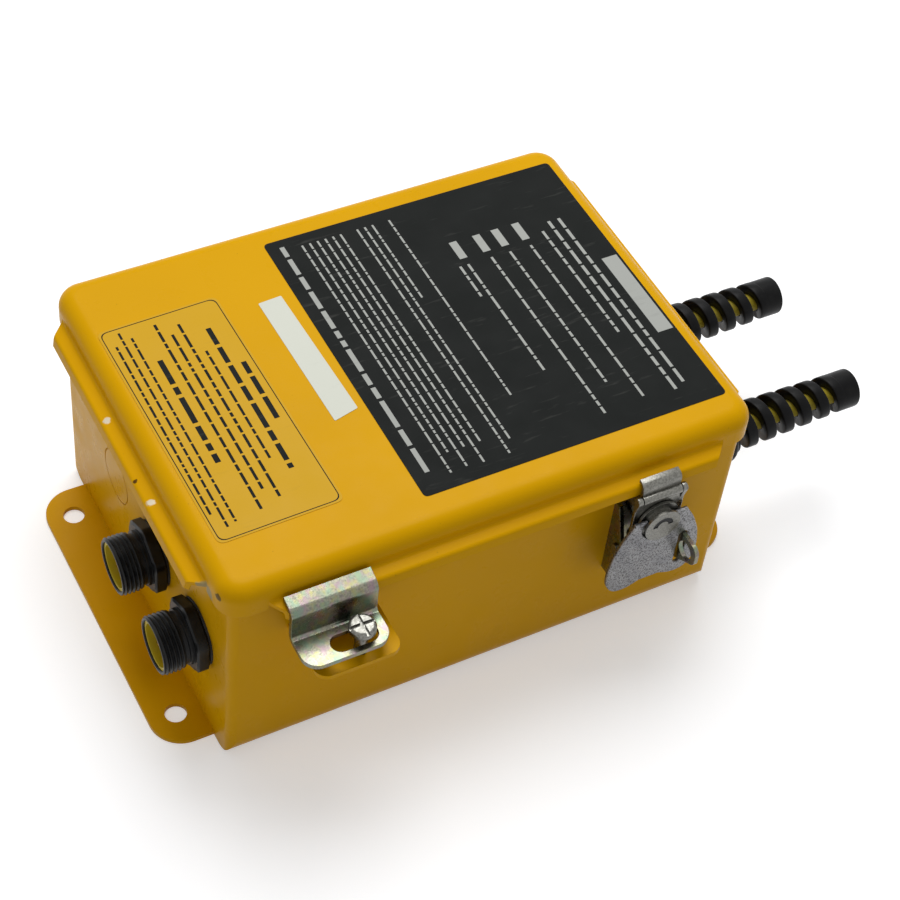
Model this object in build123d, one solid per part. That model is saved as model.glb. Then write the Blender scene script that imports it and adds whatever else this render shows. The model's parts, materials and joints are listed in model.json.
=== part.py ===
from build123d import *
import math
import os

# Safety light curtain controller: a wall box of sheet steel with a hinged and latched lid.
# Millimetres. X runs along the long sides, Y points away from the latch side, Z is up from the
# back plane. The origin is the centre of the four mounting holes, on the back plane.

# Enclosure body
body_length = 203.2
body_width = 152.4
rim_height = 93.0
body_sheet = 1.9
bend_radius = 9.5
wall_corner_radius = 3.5
knockout_radius = 11.2
knockout_groove = 0.6
knockout_depth = 0.4
knockout_from_near_wall = 103.2

# Mounting feet
foot_reach = 20.0
foot_inset = 12.45
foot_corner_radius = 12.5
hole_from_wall = 9.525
hole_from_foot_side = 12.95
mounting_hole_radius = 4.1

# Lid
lid_overhang = 3.1
lid_sheet = 1.5
lid_drop = 5.5
lid_crown = 7.3
lid_corner_radius = 9.5
lid_edge_radius = 6.5
gasket_width = 7.0

# Rolled lip of the lid
lip_reach = 6.0
lip_ridge_reach = 5.2
lip_root_height = 3.9
lip_ridge_height = 2.4
lip_edge_drop = 1.5
lip_bend = 1.8
lip_slant = 5.5
near_lip_left_inset = 15.7
near_lip_right_inset = 14.7
side_lip_near_inset = 11.3
side_lip_far_inset = 15.3

# Hinge
hinge_inset = 13.6
hinge_knuckles = 7
knuckle_radius = 2.6
hinge_pin_radius = 1.3
hinge_leaf = 1.5
hinge_leaf_height = 20.0
hinge_drop = 3.0
knuckle_gap = 0.3

# Shared clearances
running_clearance = 0.05
free_clearance = 0.3

# Clamp and its ear
clamp_from_left_wall = 33.2
clamp_width = 32.0
clamp_sheet = 1.9
clamp_web_reach = 9.5
clamp_plate_reach = 25.2
clamp_plate_drop = 10.9
clamp_inner_bend = 1.5
clamp_corner_radius = 6.0
clamp_slot_length = 17.5
clamp_slot_width = 7.5
clamp_slot_shift = 3.7
clamp_screw_shift = 6.4
clamp_screw_reach = 19.3
ear_length = 32.0
ear_shift = 4.4
ear_reach = 25.2
ear_gap = 6.1
ear_sheet = 1.9
ear_corner_radius = 5.0
screw_radius = 2.4
screw_head_radius = 4.9
screw_head_height = 2.8
screw_head_lift = 3.7
screw_length = 22.0
screw_slot = 1.2
screw_slot_depth = 1.1

# Draw latch
latch_from_right_wall = 41.6
drum_drop = 14.9
latch_base_to_left = 10.7
latch_base_to_right = 12.5
latch_base_sheet = 1.6
latch_base_below = 36.6
latch_base_above = 1.4
flange_reach = 9.8
flange_top_reach = 3.2
flange_taper_below = 19.6
eye_reach = 25.0
eye_top_below = 10.6
eye_bottom_below = 26.6
eye_hole_radius = 3.9
eye_rim = 2.4
latch_rivet_radius = 1.6
latch_rivet_head = 3.0
latch_pin_radius = 1.2
latch_pin_head = 1.9
latch_pin_reach = 6.1
latch_pin_below = 18.6
axle_radius = 2.0
axle_reach = 13.7
drum_base_radius = 7.0
drum_base_start = 2.0
drum_throw = 2.0
drum_neck_radius = 5.2
strap_back = 10.2
strap_sheet = 1.5
strap_width = 20.5
strap_below = 12.1
strap_above = 10.3
strap_end_radius = 4.0
cam_clearance = 0.45
collar_radius = 8.6
collar_start = 12.0
collar_end = 13.0
groove_radius = 6.0
groove_end = 15.2
face_radius = 7.25
face_end = 16.2
coin_slot_outer = 4.2
coin_slot_inner = 2.2
coin_slot_depth = 0.8
hook_pin_radius = 0.9
hook_pin_reach = 11.4
hook_pin_above = 12.6
hook_barrel_radius = 1.8
hook_width = 16.1
hook_sheet = 1.5
hook_tip_reach = 4.5
strap_ear_width = 2.0

# Wing handle of the latch
wing_back = 13.3
wing_sheet = 1.6
wing_pivot_height = 2.6
wing_top = 3.3
wing_ear_half = 10.8
wing_shoulder_half = 14.5
wing_shoulder_drop = 4.0
wing_flare_half = 18.9
wing_flare_top = 20.0
wing_flare_bottom = 28.0
wing_lobe_half = 15.8
wing_lobe_drop = 38.0
wing_waist_drop = 35.2
wing_corner_radius = 2.4
wing_cutout_radius = 7.9
wing_mouth = 14.8
wing_stub_radius = 0.9
wing_stub_inner = 6.0
wing_slot_width = 3.6
wing_slot_top = 10.3
wing_slot_bottom = 31.0

# Receptacles in the left wall
receptacle_from_near_wall = 26.2
receptacle_pitch = 38.0
receptacle_from_rim = 46.5
receptacle_reach = 17.3
receptacle_thread_radius = 11.05
receptacle_thread_length = 8.3
receptacle_lead_in = 0.6
receptacle_neck_radius = 10.1
receptacle_flats = 25.4
receptacle_hexagon = 5.0
receptacle_bore = 9.4
receptacle_tail_radius = 10.3
receptacle_tail = 9.0
insert_wall = 1.2
insert_depth = 9.4
insert_setback = 0.8
insert_floor = 6.0
pin_count = 5
pin_radius = 0.95
pin_circle_radius = 5.4
pin_setback = 3.0
pin_tail = 4.0
seal_thickness = 0.8
locknut_flats = 27.0
locknut_thickness = 4.0

# Cable grips in the right wall
grip_from_near_wall = 29.2
grip_row_pitch = 56.0
grip_from_rim = 43.0
grip_reach = 77.0
grip_fitting_radius = 9.9
grip_fitting_tail = 9.0
grip_hexagon = 6.0
grip_flats = 24.0
grip_thread_radius = 9.0
grip_thread = 6.0
grip_nut_radius = 12.0
grip_nut_length = 11.0
grip_turns = 6.0
grip_base_radius = 9.6
grip_tip_radius = 7.8
grip_rib_depth = 2.6
grip_rib_step = 0.3
grip_rib_width = 4.6
grip_collar_length = 12.0
grip_window_length = 4.2
grip_window_width = 2.2
grip_window_from_tip = 9.3
grip_window_turns = (150.0, -20.0)
cable_radius = 4.8
cable_inner_length = 20.0
cable_setback = 3.0

# Sub-panel and its studs
panel_inset_x = 15.6
panel_inset_y = 17.2
panel_sheet = 1.6
stud_inset_x = 8.0
stud_inset_y = 9.0
stud_height = 12.0
stud_radius = 4.0
stud_thread_radius = 2.4
stud_thread_length = 8.0
nut_flats = 8.0
nut_thickness = 3.6

# Circuit board with its relays and fuses
board_margin_x = 11.0
board_margin_y = 10.0
board_to_terminals = 2.0
board_to_core = 7.0
board_thickness = 1.6
board_corner_radius = 2.0
standoff_height = 9.0
standoff_flats = 6.0
standoff_inset = 5.0
board_screw_radius = 1.5
board_screw_head = 2.8
board_screw_head_height = 1.8
board_screw_bite = 5.0
relay_length = 29.0
relay_width = 13.0
relay_height = 25.0
relay_edge_radius = 1.0
relay_pitch = 22.0
relay_inset = 6.5
fuse_length = 20.0
fuse_radius = 2.6
fuse_pitch = 10.0
fuse_inset_x = 17.0
fuse_inset_y = 13.0
fuse_lift = 4.6
clip_width = 5.0
clip_wall = 0.6

# Transformer
core_length = 48.0
core_width = 26.0
core_height = 40.0
core_margin_x = 14.0
core_margin_y = 5.0
core_window_height = 20.0
core_window_width = 9.0
coil_width = 36.0
coil_corner_radius = 5.0

# Terminal block and earth stud
terminal_poles = 10
terminal_pitch = 9.5
terminal_width = 20.0
terminal_height = 24.0
terminal_margin_x = 13.0
terminal_slot = 6.0
terminal_screw_radius = 2.4
ground_stud_from_right_wall = 9.6
ground_stud_from_far_wall = 28.2
ground_stud_height = 14.0

# Worked out from the sizes above: enclosure and lid
half_length = body_length / 2
half_width = body_width / 2
near_wall_y = -half_width
lid_half_length = half_length + lid_overhang
lid_half_width = half_width + lid_overhang
lid_top = rim_height + lid_crown
skirt_bottom = rim_height - lid_drop
foot_width = body_width - 2 * foot_inset
hole_spacing_x = body_length + 2 * hole_from_wall
hole_spacing_y = foot_width - 2 * hole_from_foot_side
near_lip_ends = (near_lip_left_inset - lid_half_length, lid_half_length - near_lip_right_inset)
side_lip_ends = (side_lip_near_inset - lid_half_width, lid_half_width - side_lip_far_inset)
hinge_length = body_length - 2 * hinge_inset
hinge_y = lid_half_width + knuckle_radius
hinge_z = skirt_bottom - hinge_drop

# Worked out: clamp and latch
clamp_centre = clamp_from_left_wall - half_length
clamp_slot_centre = clamp_centre + clamp_slot_shift
clamp_screw_x = clamp_centre + clamp_screw_shift
clamp_plate_bottom = skirt_bottom - clamp_plate_drop
ear_centre = clamp_centre + ear_shift
ear_top = clamp_plate_bottom - ear_gap
screw_head_bottom = clamp_plate_bottom + clamp_sheet + screw_head_lift
screw_head_top = screw_head_bottom + screw_head_height
latch_x = half_length - latch_from_right_wall
drum_z = skirt_bottom - drum_drop
latch_base_left = latch_x - latch_base_to_left
latch_base_right = latch_x + latch_base_to_right
latch_base_bottom = drum_z - latch_base_below
latch_base_top = drum_z + latch_base_above
eye_top = drum_z - eye_top_below
eye_bottom = drum_z - eye_bottom_below
latch_pin_z = drum_z - latch_pin_below
hook_pin_z = drum_z + hook_pin_above
strap_bottom = drum_z - strap_below
strap_top = drum_z + strap_above
wing_centre = wing_back + wing_sheet / 2

# Worked out: receptacles and grips
receptacle_z = rim_height - receptacle_from_rim
receptacle_rows = [near_wall_y + receptacle_from_near_wall + i * receptacle_pitch for i in range(2)]
grip_z = rim_height - grip_from_rim
grip_rows = [near_wall_y + grip_from_near_wall + i * grip_row_pitch for i in range(2)]
knockout_y = near_wall_y + knockout_from_near_wall

# Worked out: inside the box
panel_length = body_length - 2 * panel_inset_x
panel_width = body_width - 2 * panel_inset_y
stud_spacing_x = panel_length - 2 * stud_inset_x
stud_spacing_y = panel_width - 2 * stud_inset_y
panel_bottom = body_sheet + stud_height
panel_top = panel_bottom + panel_sheet
board_length = panel_length - board_margin_x - board_to_terminals - terminal_width - terminal_margin_x
board_width = panel_width - board_margin_y - board_to_core - core_width - core_margin_y
board_x = board_margin_x + (board_length - panel_length) / 2
board_y = board_margin_y + (board_width - panel_width) / 2
board_bottom = panel_top + standoff_height
board_top = board_bottom + board_thickness
core_x = core_margin_x + (core_length - panel_length) / 2
core_y = (panel_width - core_width) / 2 - core_margin_y
terminal_x = (panel_length - terminal_width) / 2 - terminal_margin_x
ground_stud_x = half_length - ground_stud_from_right_wall
ground_stud_y = half_width - ground_stud_from_far_wall


def block(x, y, z):
    """Box between the two values given for each direction."""
    centre = Pos((x[0] + x[1]) / 2, (y[0] + y[1]) / 2, (z[0] + z[1]) / 2)
    return centre * Box(x[1] - x[0], y[1] - y[0], z[1] - z[0])


def rod_x(radius, start, end, y, z):
    """Round bar along X."""
    return Pos((start + end) / 2, y, z) * Rot(0, 90, 0) * Cylinder(radius, end - start)


def rod_y(radius, start, end, x, z):
    """Round bar along Y."""
    return Pos(x, (start + end) / 2, z) * Rot(90, 0, 0) * Cylinder(radius, end - start)


def rod_z(radius, start, end, x, y):
    """Round bar along Z."""
    return Pos(x, y, (start + end) / 2) * Cylinder(radius, end - start)


def hexagon_x(flats, start, end, y, z):
    """Hexagonal bar along X."""
    section = RegularPolygon(flats / 2, 6, major_radius=False)
    return Pos(start, y, z) * Rot(0, 90, 0) * extrude(section, amount=end - start)


def hexagon_z(flats, start, end, x, y):
    """Hexagonal bar along Z."""
    section = RegularPolygon(flats / 2, 6, major_radius=False)
    return Pos(x, y, start) * extrude(section, amount=end - start)


def near_prism(face, left, right):
    """A section drawn as reach from the near wall and height, run along X."""
    plane = Plane(origin=(right, near_wall_y, 0), x_dir=(0, -1, 0), z_dir=(-1, 0, 0))
    return extrude(plane * face, amount=right - left)


def folded_strip(points, radii, thickness, side):
    """Section of a folded sheet, from the line of one of its faces."""
    return make_face(offset(FilletPolyline(*points, radius=radii), amount=thickness, side=side))


def rounded_slab(length, width, radius, bottom, top):
    """Slab with rounded corners seen from above."""
    return Pos(0, 0, bottom) * extrude(RectangleRounded(length, width, radius), amount=top - bottom)


def wrapped_box(length, width, radius, bottom, top):
    """Box whose long bottom edges are bent to a radius."""
    section = Pos(0, (bottom + top) / 2) * Rectangle(width, top - bottom)
    lower = section.vertices().group_by(Axis.Y)[0]
    plane = Plane(origin=(-length / 2, 0, 0), x_dir=(0, 1, 0), z_dir=(1, 0, 0))
    return extrude(plane * fillet(lower, radius), amount=length)


def mounting_places():
    """Centres of the four mounting holes."""
    return [(i * hole_spacing_x / 2, j * hole_spacing_y / 2) for i in (-1, 1) for j in (-1, 1)]


def enclosure_body():
    """Wrapped sheet with welded end walls, on a bottom that runs out into two feet."""
    outer = wrapped_box(body_length, body_width, bend_radius, 0, rim_height)
    outer &= rounded_slab(body_length, body_width, wall_corner_radius, 0, rim_height)
    inner_length = body_length - 2 * body_sheet
    inner_width = body_width - 2 * body_sheet
    body = outer - wrapped_box(inner_length, inner_width, bend_radius - body_sheet, body_sheet, rim_height + 1)
    body += rounded_slab(body_length + 2 * foot_reach, foot_width, foot_corner_radius, 0, body_sheet)
    for x, y in mounting_places():
        body -= rod_z(mounting_hole_radius, -1, body_sheet + 1, x, y)
    for y in receptacle_rows:
        body -= rod_x(receptacle_tail_radius, -half_length - 1, -half_length + body_sheet + 1, y, receptacle_z)
    for y in grip_rows:
        body -= rod_x(grip_fitting_radius, half_length - body_sheet - 1, half_length + 1, y, grip_z)
    groove = rod_x(knockout_radius, -half_length - 1, -half_length + knockout_depth, knockout_y, receptacle_z)
    groove -= rod_x(knockout_radius - knockout_groove, -half_length - 2, -half_length + 1, knockout_y, receptacle_z)
    body -= groove
    for x, z in rivet_places():
        body -= rod_y(latch_rivet_radius, near_wall_y - 1, near_wall_y + body_sheet + 1, x, z)
    return body


def lip_section():
    """Rolled lip: down from the skirt, out to a ridge and down again."""
    top = skirt_bottom + lip_root_height + lip_bend
    points = [
        (lid_overhang, top),
        (lid_overhang, skirt_bottom + lip_root_height),
        (lid_overhang + lip_ridge_reach, skirt_bottom + lip_ridge_height),
        (lid_overhang + lip_reach, skirt_bottom - lip_edge_drop),
    ]
    return folded_strip(points, lip_bend, lid_sheet, Side.RIGHT)


def lip_prism(ends, half_size):
    """Lip along one side, drawn on the near side, with its two ends cut at a slant."""
    lip = near_prism(lip_section(), ends[0], ends[1])
    root = near_wall_y - lid_overhang
    outer = root - lip_reach - 1
    slant = lip_slant * (lip_reach + 1) / lip_reach
    outline = Polyline(
        (ends[0], root + lid_sheet + 1),
        (ends[1], root + lid_sheet + 1),
        (ends[1], root),
        (ends[1] - slant, outer),
        (ends[0] + slant, outer),
        (ends[0], root),
        close=True,
    )
    lip &= extrude(make_face(outline), amount=lid_top)
    return Pos(0, half_width - half_size, 0) * lip


def skirt_gap(ends, half_size):
    """Stretch of the plain skirt that the rolled lip takes the place of."""
    face = half_size + lid_overhang
    top = skirt_bottom + lip_root_height + lip_bend
    return block(ends, (-face - 1, -face + lid_sheet + 1), (skirt_bottom - 1, top))


def lid_cavity(bottom):
    """Space inside the lid, from a given height up to its top sheet."""
    length = 2 * (lid_half_length - lid_sheet)
    width = 2 * (lid_half_width - lid_sheet)
    cavity = rounded_slab(length, width, lid_corner_radius - lid_sheet, bottom, lid_top - lid_sheet)
    return fillet(cavity.edges().group_by(Axis.Z)[-1], lid_edge_radius - lid_sheet)


def lid_shell():
    """Pressed lid with a rounded edge, plain corner skirts and a rolled lip on three sides."""
    outer = rounded_slab(2 * lid_half_length, 2 * lid_half_width, lid_corner_radius, skirt_bottom, lid_top)
    outer = fillet(outer.edges().group_by(Axis.Z)[-1], lid_edge_radius)
    lid = outer - lid_cavity(skirt_bottom - 1)
    lid -= skirt_gap(near_lip_ends, half_width)
    lid += lip_prism(near_lip_ends, half_width)
    for turn, ends in ((-90, side_lip_ends), (90, (-side_lip_ends[1], -side_lip_ends[0]))):
        lid -= Rot(0, 0, turn) * skirt_gap(ends, half_length)
        lid += Rot(0, 0, turn) * lip_prism(ends, half_length)
    return lid


def lid_gasket():
    """Foam strip under the lid's top sheet that lands on the body's rim."""
    window_length = body_length - 2 * gasket_width
    window_width = body_width - 2 * gasket_width
    return lid_cavity(rim_height) - block(
        (-window_length / 2, window_length / 2),
        (-window_width / 2, window_width / 2),
        (rim_height - 1, lid_top),
    )


def knuckle_spans():
    """Start and end of each hinge knuckle along X, with its number."""
    pitch = hinge_length / hinge_knuckles
    for number in range(hinge_knuckles):
        start = -hinge_length / 2 + number * pitch
        yield number, start + knuckle_gap / 2, start + pitch - knuckle_gap / 2


def hinge_body_leaf():
    """Leaf on the far wall: an upright, a ledge under the pin and every other knuckle."""
    inner = half_width
    ledge = (hinge_z - knuckle_radius, hinge_z - knuckle_radius + hinge_leaf)
    ends = (-hinge_length / 2, hinge_length / 2)
    leaf = block(ends, (inner, inner + hinge_leaf), (hinge_z - hinge_leaf_height, ledge[1]))
    leaf += block(ends, (inner, hinge_y - knuckle_radius - free_clearance), ledge)
    for number, start, end in knuckle_spans():
        if number % 2 == 0:
            leaf += block((start, end), (inner, hinge_y), ledge)
            leaf += rod_x(knuckle_radius, start, end, hinge_y, hinge_z)
            leaf -= rod_x(hinge_pin_radius, start, end, hinge_y, hinge_z)
    return leaf


def hinge_lid_leaf():
    """Leaf on the lid's far skirt with the knuckles between those of the body."""
    inner = lid_half_width
    ends = (-hinge_length / 2, hinge_length / 2)
    top = lid_top - lid_edge_radius
    leaf = block(ends, (inner, inner + hinge_leaf), (hinge_z + knuckle_radius + free_clearance, top))
    for number, start, end in knuckle_spans():
        if number % 2 == 1:
            leaf += block((start, end), (inner, inner + hinge_leaf), (hinge_z, top))
            leaf += rod_x(knuckle_radius, start, end, hinge_y, hinge_z)
            leaf -= rod_x(hinge_pin_radius + running_clearance, start, end, hinge_y, hinge_z)
    return leaf


def hinge_pin():
    """Pin through all the knuckles."""
    return rod_x(hinge_pin_radius, -hinge_length / 2, hinge_length / 2, hinge_y, hinge_z)


def clamp_ear():
    """Tab welded to the near wall that takes the clamp's screw."""
    outline = Pos(ear_centre, near_wall_y - ear_reach / 2) * Rectangle(ear_length, ear_reach)
    outline = fillet(outline.vertices().group_by(Axis.Y)[0], ear_corner_radius)
    ear = Pos(0, 0, ear_top - ear_sheet) * extrude(outline, amount=ear_sheet)
    hole = screw_radius + running_clearance
    return ear - rod_z(hole, ear_top - ear_sheet - 1, ear_top + 1, clamp_screw_x, near_wall_y - clamp_screw_reach)


def clamp_plate():
    """Folded clamp: a leg over the lid's lip, a web and a slotted plate."""
    slope = (lip_root_height - lip_ridge_height) / lip_ridge_reach
    root = skirt_bottom + lip_root_height + free_clearance
    leg_start = lid_overhang + 3 * free_clearance
    points = [
        (leg_start, root + free_clearance - slope * (leg_start - lid_overhang)),
        (clamp_web_reach, root + free_clearance - slope * (clamp_web_reach - lid_overhang)),
        (clamp_web_reach, clamp_plate_bottom),
        (clamp_plate_reach, clamp_plate_bottom),
    ]
    radii = [clamp_inner_bend, clamp_inner_bend + clamp_sheet]
    section = folded_strip(points, radii, clamp_sheet, Side.LEFT)
    clamp = near_prism(section, clamp_centre - clamp_width / 2, clamp_centre + clamp_width / 2)
    corners = clamp.edges().filter_by(Axis.Z).group_by(Axis.Y)[0]
    clamp = fillet(corners, clamp_corner_radius)
    slot = Pos(clamp_slot_centre, near_wall_y - clamp_screw_reach) * SlotOverall(clamp_slot_length, clamp_slot_width)
    return clamp - Pos(0, 0, clamp_plate_bottom - 1) * extrude(slot, amount=clamp_sheet + 2)


def clamp_screw():
    """Pan head screw with a slot and a shorter cross slot, backed out of the ear."""
    y = near_wall_y - clamp_screw_reach
    head = rod_z(screw_head_radius, screw_head_bottom, screw_head_top, clamp_screw_x, y)
    head = fillet(head.edges().group_by(Axis.Z)[-1], screw_head_height / 2)
    half = screw_slot / 2
    floor = (screw_head_top - screw_slot_depth, screw_head_top + 1)
    for long_x, long_y in ((screw_head_radius, half), (half, screw_head_radius)):
        head -= block((clamp_screw_x - long_x, clamp_screw_x + long_x), (y - long_y, y + long_y), floor)
    return head + rod_z(screw_radius, screw_head_top - screw_length, screw_head_bottom, clamp_screw_x, y)


def rivet_places():
    """The two rivets that hold the latch base to the near wall."""
    low = latch_base_bottom + latch_rivet_head + 1
    return [(latch_x, low), (latch_x, (low + drum_z - drum_base_radius) / 2)]


def padlock_eye():
    """Eye that grows from the right flange of the latch base, through the wing's slot."""
    middle = (eye_top + eye_bottom) / 2
    hole_reach = eye_reach - eye_rim - eye_hole_radius
    outline = Polyline(
        (flange_reach - 1, eye_top),
        (eye_reach, eye_top),
        (eye_reach, middle),
        (flange_reach + 3, eye_bottom),
        (flange_reach - 1, eye_bottom),
        close=True,
    )
    face = make_face(outline)
    face = fillet(face.vertices().group_by(Axis.X)[-1], eye_rim + 1)
    face -= Pos(hole_reach, eye_top - eye_rim - eye_hole_radius) * Circle(eye_hole_radius)
    return near_prism(face, latch_base_right - latch_base_sheet, latch_base_right)


def latch_base():
    """Channel riveted to the wall, with tapered flanges and the padlock eye."""
    flange = make_face(Polyline(
        (0, latch_base_bottom),
        (flange_reach, latch_base_bottom),
        (flange_reach, drum_z - flange_taper_below),
        (flange_top_reach, latch_base_top),
        (0, latch_base_top),
        close=True,
    ))
    base = near_prism(flange, latch_base_left, latch_base_left + latch_base_sheet)
    base += near_prism(flange, latch_base_right - latch_base_sheet, latch_base_right)
    back = (near_wall_y - latch_base_sheet, near_wall_y)
    base += block((latch_base_left, latch_base_right), back, (latch_base_bottom, latch_base_top))
    base += padlock_eye()
    for x, z in rivet_places():
        base -= rod_y(latch_rivet_radius, back[0] - 1, back[1] + 1, x, z)
    pin_y = near_wall_y - latch_pin_reach
    base -= rod_x(latch_pin_radius, latch_base_left - 1, latch_base_right + 1, pin_y, latch_pin_z)
    return base - rod_y(axle_radius, back[0] - 1, back[1] + 1, latch_x, drum_z)


def latch_rivets():
    """Two rivets through the latch base and the wall, with a head on each side."""
    rivets = []
    for x, z in rivet_places():
        outer = near_wall_y - latch_base_sheet
        inner = near_wall_y + body_sheet
        rivet = rod_y(latch_rivet_radius, outer, inner, x, z)
        rivet += rod_y(latch_rivet_head, outer - latch_rivet_head / 3, outer, x, z)
        rivet += rod_y(latch_rivet_head, inner, inner + latch_rivet_head / 3, x, z)
        rivets.append(rivet)
    return Compound(children=rivets)


def latch_pin():
    """Cross pin between the flanges of the latch base, with a head at each end."""
    y = near_wall_y - latch_pin_reach
    pin = rod_x(latch_pin_radius, latch_base_left, latch_base_right, y, latch_pin_z)
    pin += rod_x(latch_pin_head, latch_base_left - 1, latch_base_left, y, latch_pin_z)
    return pin + rod_x(latch_pin_head, latch_base_right, latch_base_right + 1, y, latch_pin_z)


def latch_axle():
    """Stud on which the drum turns."""
    return rod_y(axle_radius, near_wall_y - axle_reach, near_wall_y, latch_x, drum_z)


def drum_step(radius, start, end, lift=0.0):
    """One turned step of the drum, from start to end out of the wall."""
    return rod_y(radius, near_wall_y - end, near_wall_y - start, latch_x, drum_z + lift)


def latch_drum():
    """Turned drum: base, eccentric neck, collar, groove for the wing's stubs and slotted face."""
    drum = drum_step(drum_base_radius, drum_base_start, strap_back - free_clearance)
    drum += drum_step(drum_neck_radius, strap_back - free_clearance, collar_start, -drum_throw)
    drum += drum_step(collar_radius, collar_start, collar_end)
    drum += drum_step(groove_radius, collar_end, groove_end)
    drum += drum_step(face_radius, groove_end, face_end)
    drum -= drum_step(axle_radius + running_clearance, 0, axle_reach + free_clearance)
    ring = Circle(coin_slot_outer) - Circle(coin_slot_inner)
    crescent = ring & Pos(0, face_radius / 2) * Rectangle(2 * face_radius, face_radius)
    plane = Plane(origin=(latch_x, near_wall_y - face_end - 1, drum_z), x_dir=(1, 0, 0), z_dir=(0, -1, 0))
    return drum - extrude(plane * crescent, amount=-(coin_slot_depth + 1))


def latch_strap():
    """Strap with a cross slot for the drum's neck and two ears for the hook's pin."""
    left = latch_x - strap_width / 2
    right = latch_x + strap_width / 2
    outline = Pos(latch_x, (strap_bottom + strap_top) / 2) * Rectangle(strap_width, strap_top - strap_bottom)
    outline = fillet(outline.vertices().group_by(Axis.Y)[0], strap_end_radius)
    neck = drum_neck_radius + cam_clearance
    slot_length = 2 * (neck + drum_throw)
    outline -= Pos(latch_x, drum_z - drum_throw) * SlotOverall(slot_length, 2 * neck)
    plane = Plane(origin=(0, near_wall_y - strap_back, 0), x_dir=(1, 0, 0), z_dir=(0, -1, 0))
    strap = extrude(plane * outline, amount=strap_sheet)
    ear = make_face(Polyline(
        (strap_back, strap_top - 2 * hook_barrel_radius),
        (strap_back + strap_sheet, strap_top - 2 * hook_barrel_radius),
        (hook_pin_reach + hook_barrel_radius, strap_top),
        (hook_pin_reach + hook_barrel_radius, hook_pin_z + hook_barrel_radius),
        (strap_back, hook_pin_z + hook_barrel_radius),
        close=True,
    ))
    ear -= Pos(hook_pin_reach, hook_pin_z) * Circle(hook_pin_radius)
    strap += near_prism(ear, left, left + strap_ear_width)
    return strap + near_prism(ear, right - strap_ear_width, right)


def hook_pin():
    """Pin on which the hook swings."""
    ends = (latch_x - strap_width / 2, latch_x + strap_width / 2)
    return rod_x(hook_pin_radius, ends[0], ends[1], near_wall_y - hook_pin_reach, hook_pin_z)


def latch_hook():
    """Hook rolled round its pin, over the ridge of the lip and into its root."""
    slope = (lip_root_height - lip_ridge_height) / lip_ridge_reach
    root = skirt_bottom + lip_root_height + free_clearance
    inner = hook_pin_reach - hook_barrel_radius
    points = [
        (inner, hook_pin_z),
        (inner, root - slope * (inner - lid_overhang)),
        (hook_tip_reach, root - slope * (hook_tip_reach - lid_overhang)),
    ]
    section = folded_strip(points, lip_bend, hook_sheet, Side.RIGHT)
    section += Pos(hook_pin_reach, hook_pin_z) * Circle(hook_barrel_radius)
    section -= Pos(hook_pin_reach, hook_pin_z) * Circle(hook_pin_radius + running_clearance)
    return near_prism(section, latch_x - hook_width / 2, latch_x + hook_width / 2)


def wing_outline():
    """Outline of the wing handle, from the drum's centre: ears, flared sides and two lobes."""
    half = [
        (wing_ear_half, wing_top),
        (wing_shoulder_half, -wing_shoulder_drop),
        (wing_flare_half, -wing_flare_top),
        (wing_flare_half, -wing_flare_bottom),
        (wing_lobe_half, -wing_lobe_drop),
    ]
    mirrored = [(-x, z) for x, z in reversed(half)]
    face = make_face(Polyline(*half, (0, -wing_waist_drop), *mirrored, close=True))
    return fillet(face.vertices(), wing_corner_radius)


def latch_wing():
    """Cast wing handle, folded down over the padlock eye, with stubs in the drum's groove."""
    face = wing_outline() - Circle(wing_cutout_radius)
    face -= Pos(0, wing_top) * Rectangle(wing_mouth, 2 * wing_top)
    eye_x = latch_base_right - latch_base_sheet / 2 - latch_x
    slot = SlotOverall(wing_slot_bottom - wing_slot_top, wing_slot_width, rotation=90)
    face -= Pos(eye_x, -(wing_slot_bottom + wing_slot_top) / 2) * slot
    plane = Plane(origin=(latch_x, near_wall_y - wing_back, drum_z), x_dir=(1, 0, 0), z_dir=(0, -1, 0))
    wing = extrude(plane * face, amount=wing_sheet)
    y = near_wall_y - wing_centre
    z = drum_z + wing_pivot_height
    for side in (-1, 1):
        near = latch_x + side * wing_stub_inner
        far = latch_x + side * (wing_cutout_radius + 1)
        wing += rod_x(wing_stub_radius, min(near, far), max(near, far), y, z)
    return wing


def receptacle_shell(y):
    """Threaded nose, neck, hexagon and tail of a receptacle, with one through bore."""
    z = receptacle_z
    mouth = -half_length - receptacle_reach
    hexagon_end = -half_length - seal_thickness
    hexagon_start = hexagon_end - receptacle_hexagon
    tail_end = -half_length + receptacle_tail
    shell = rod_x(receptacle_thread_radius, mouth, mouth + receptacle_thread_length, y, z)
    shell = chamfer(shell.edges().group_by(Axis.X)[0], receptacle_lead_in)
    shell += rod_x(receptacle_neck_radius, mouth + receptacle_thread_length, hexagon_start, y, z)
    shell += hexagon_x(receptacle_flats, hexagon_start, hexagon_end, y, z)
    shell += rod_x(receptacle_tail_radius, hexagon_end, tail_end, y, z)
    return shell - rod_x(receptacle_bore, mouth - 1, tail_end + 1, y, z)


def receptacle_insert(y):
    """Moulded cup that lines the nose and carries the pins."""
    z = receptacle_z
    start = -half_length - receptacle_reach + insert_setback
    floor = start + insert_depth
    insert = rod_x(receptacle_bore, start, floor + insert_floor, y, z)
    insert -= rod_x(receptacle_bore - insert_wall, start - 1, floor, y, z)
    for pin_y, pin_z in pin_places(y):
        insert -= rod_x(pin_radius, floor - 1, floor + insert_floor + 1, pin_y, pin_z)
    return insert


def pin_places(y):
    """Centres of the contact pins of one receptacle."""
    for number in range(pin_count):
        angle = 2 * math.pi * (number + 0.25) / pin_count
        yield y + pin_circle_radius * math.cos(angle), receptacle_z + pin_circle_radius * math.sin(angle)


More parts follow.
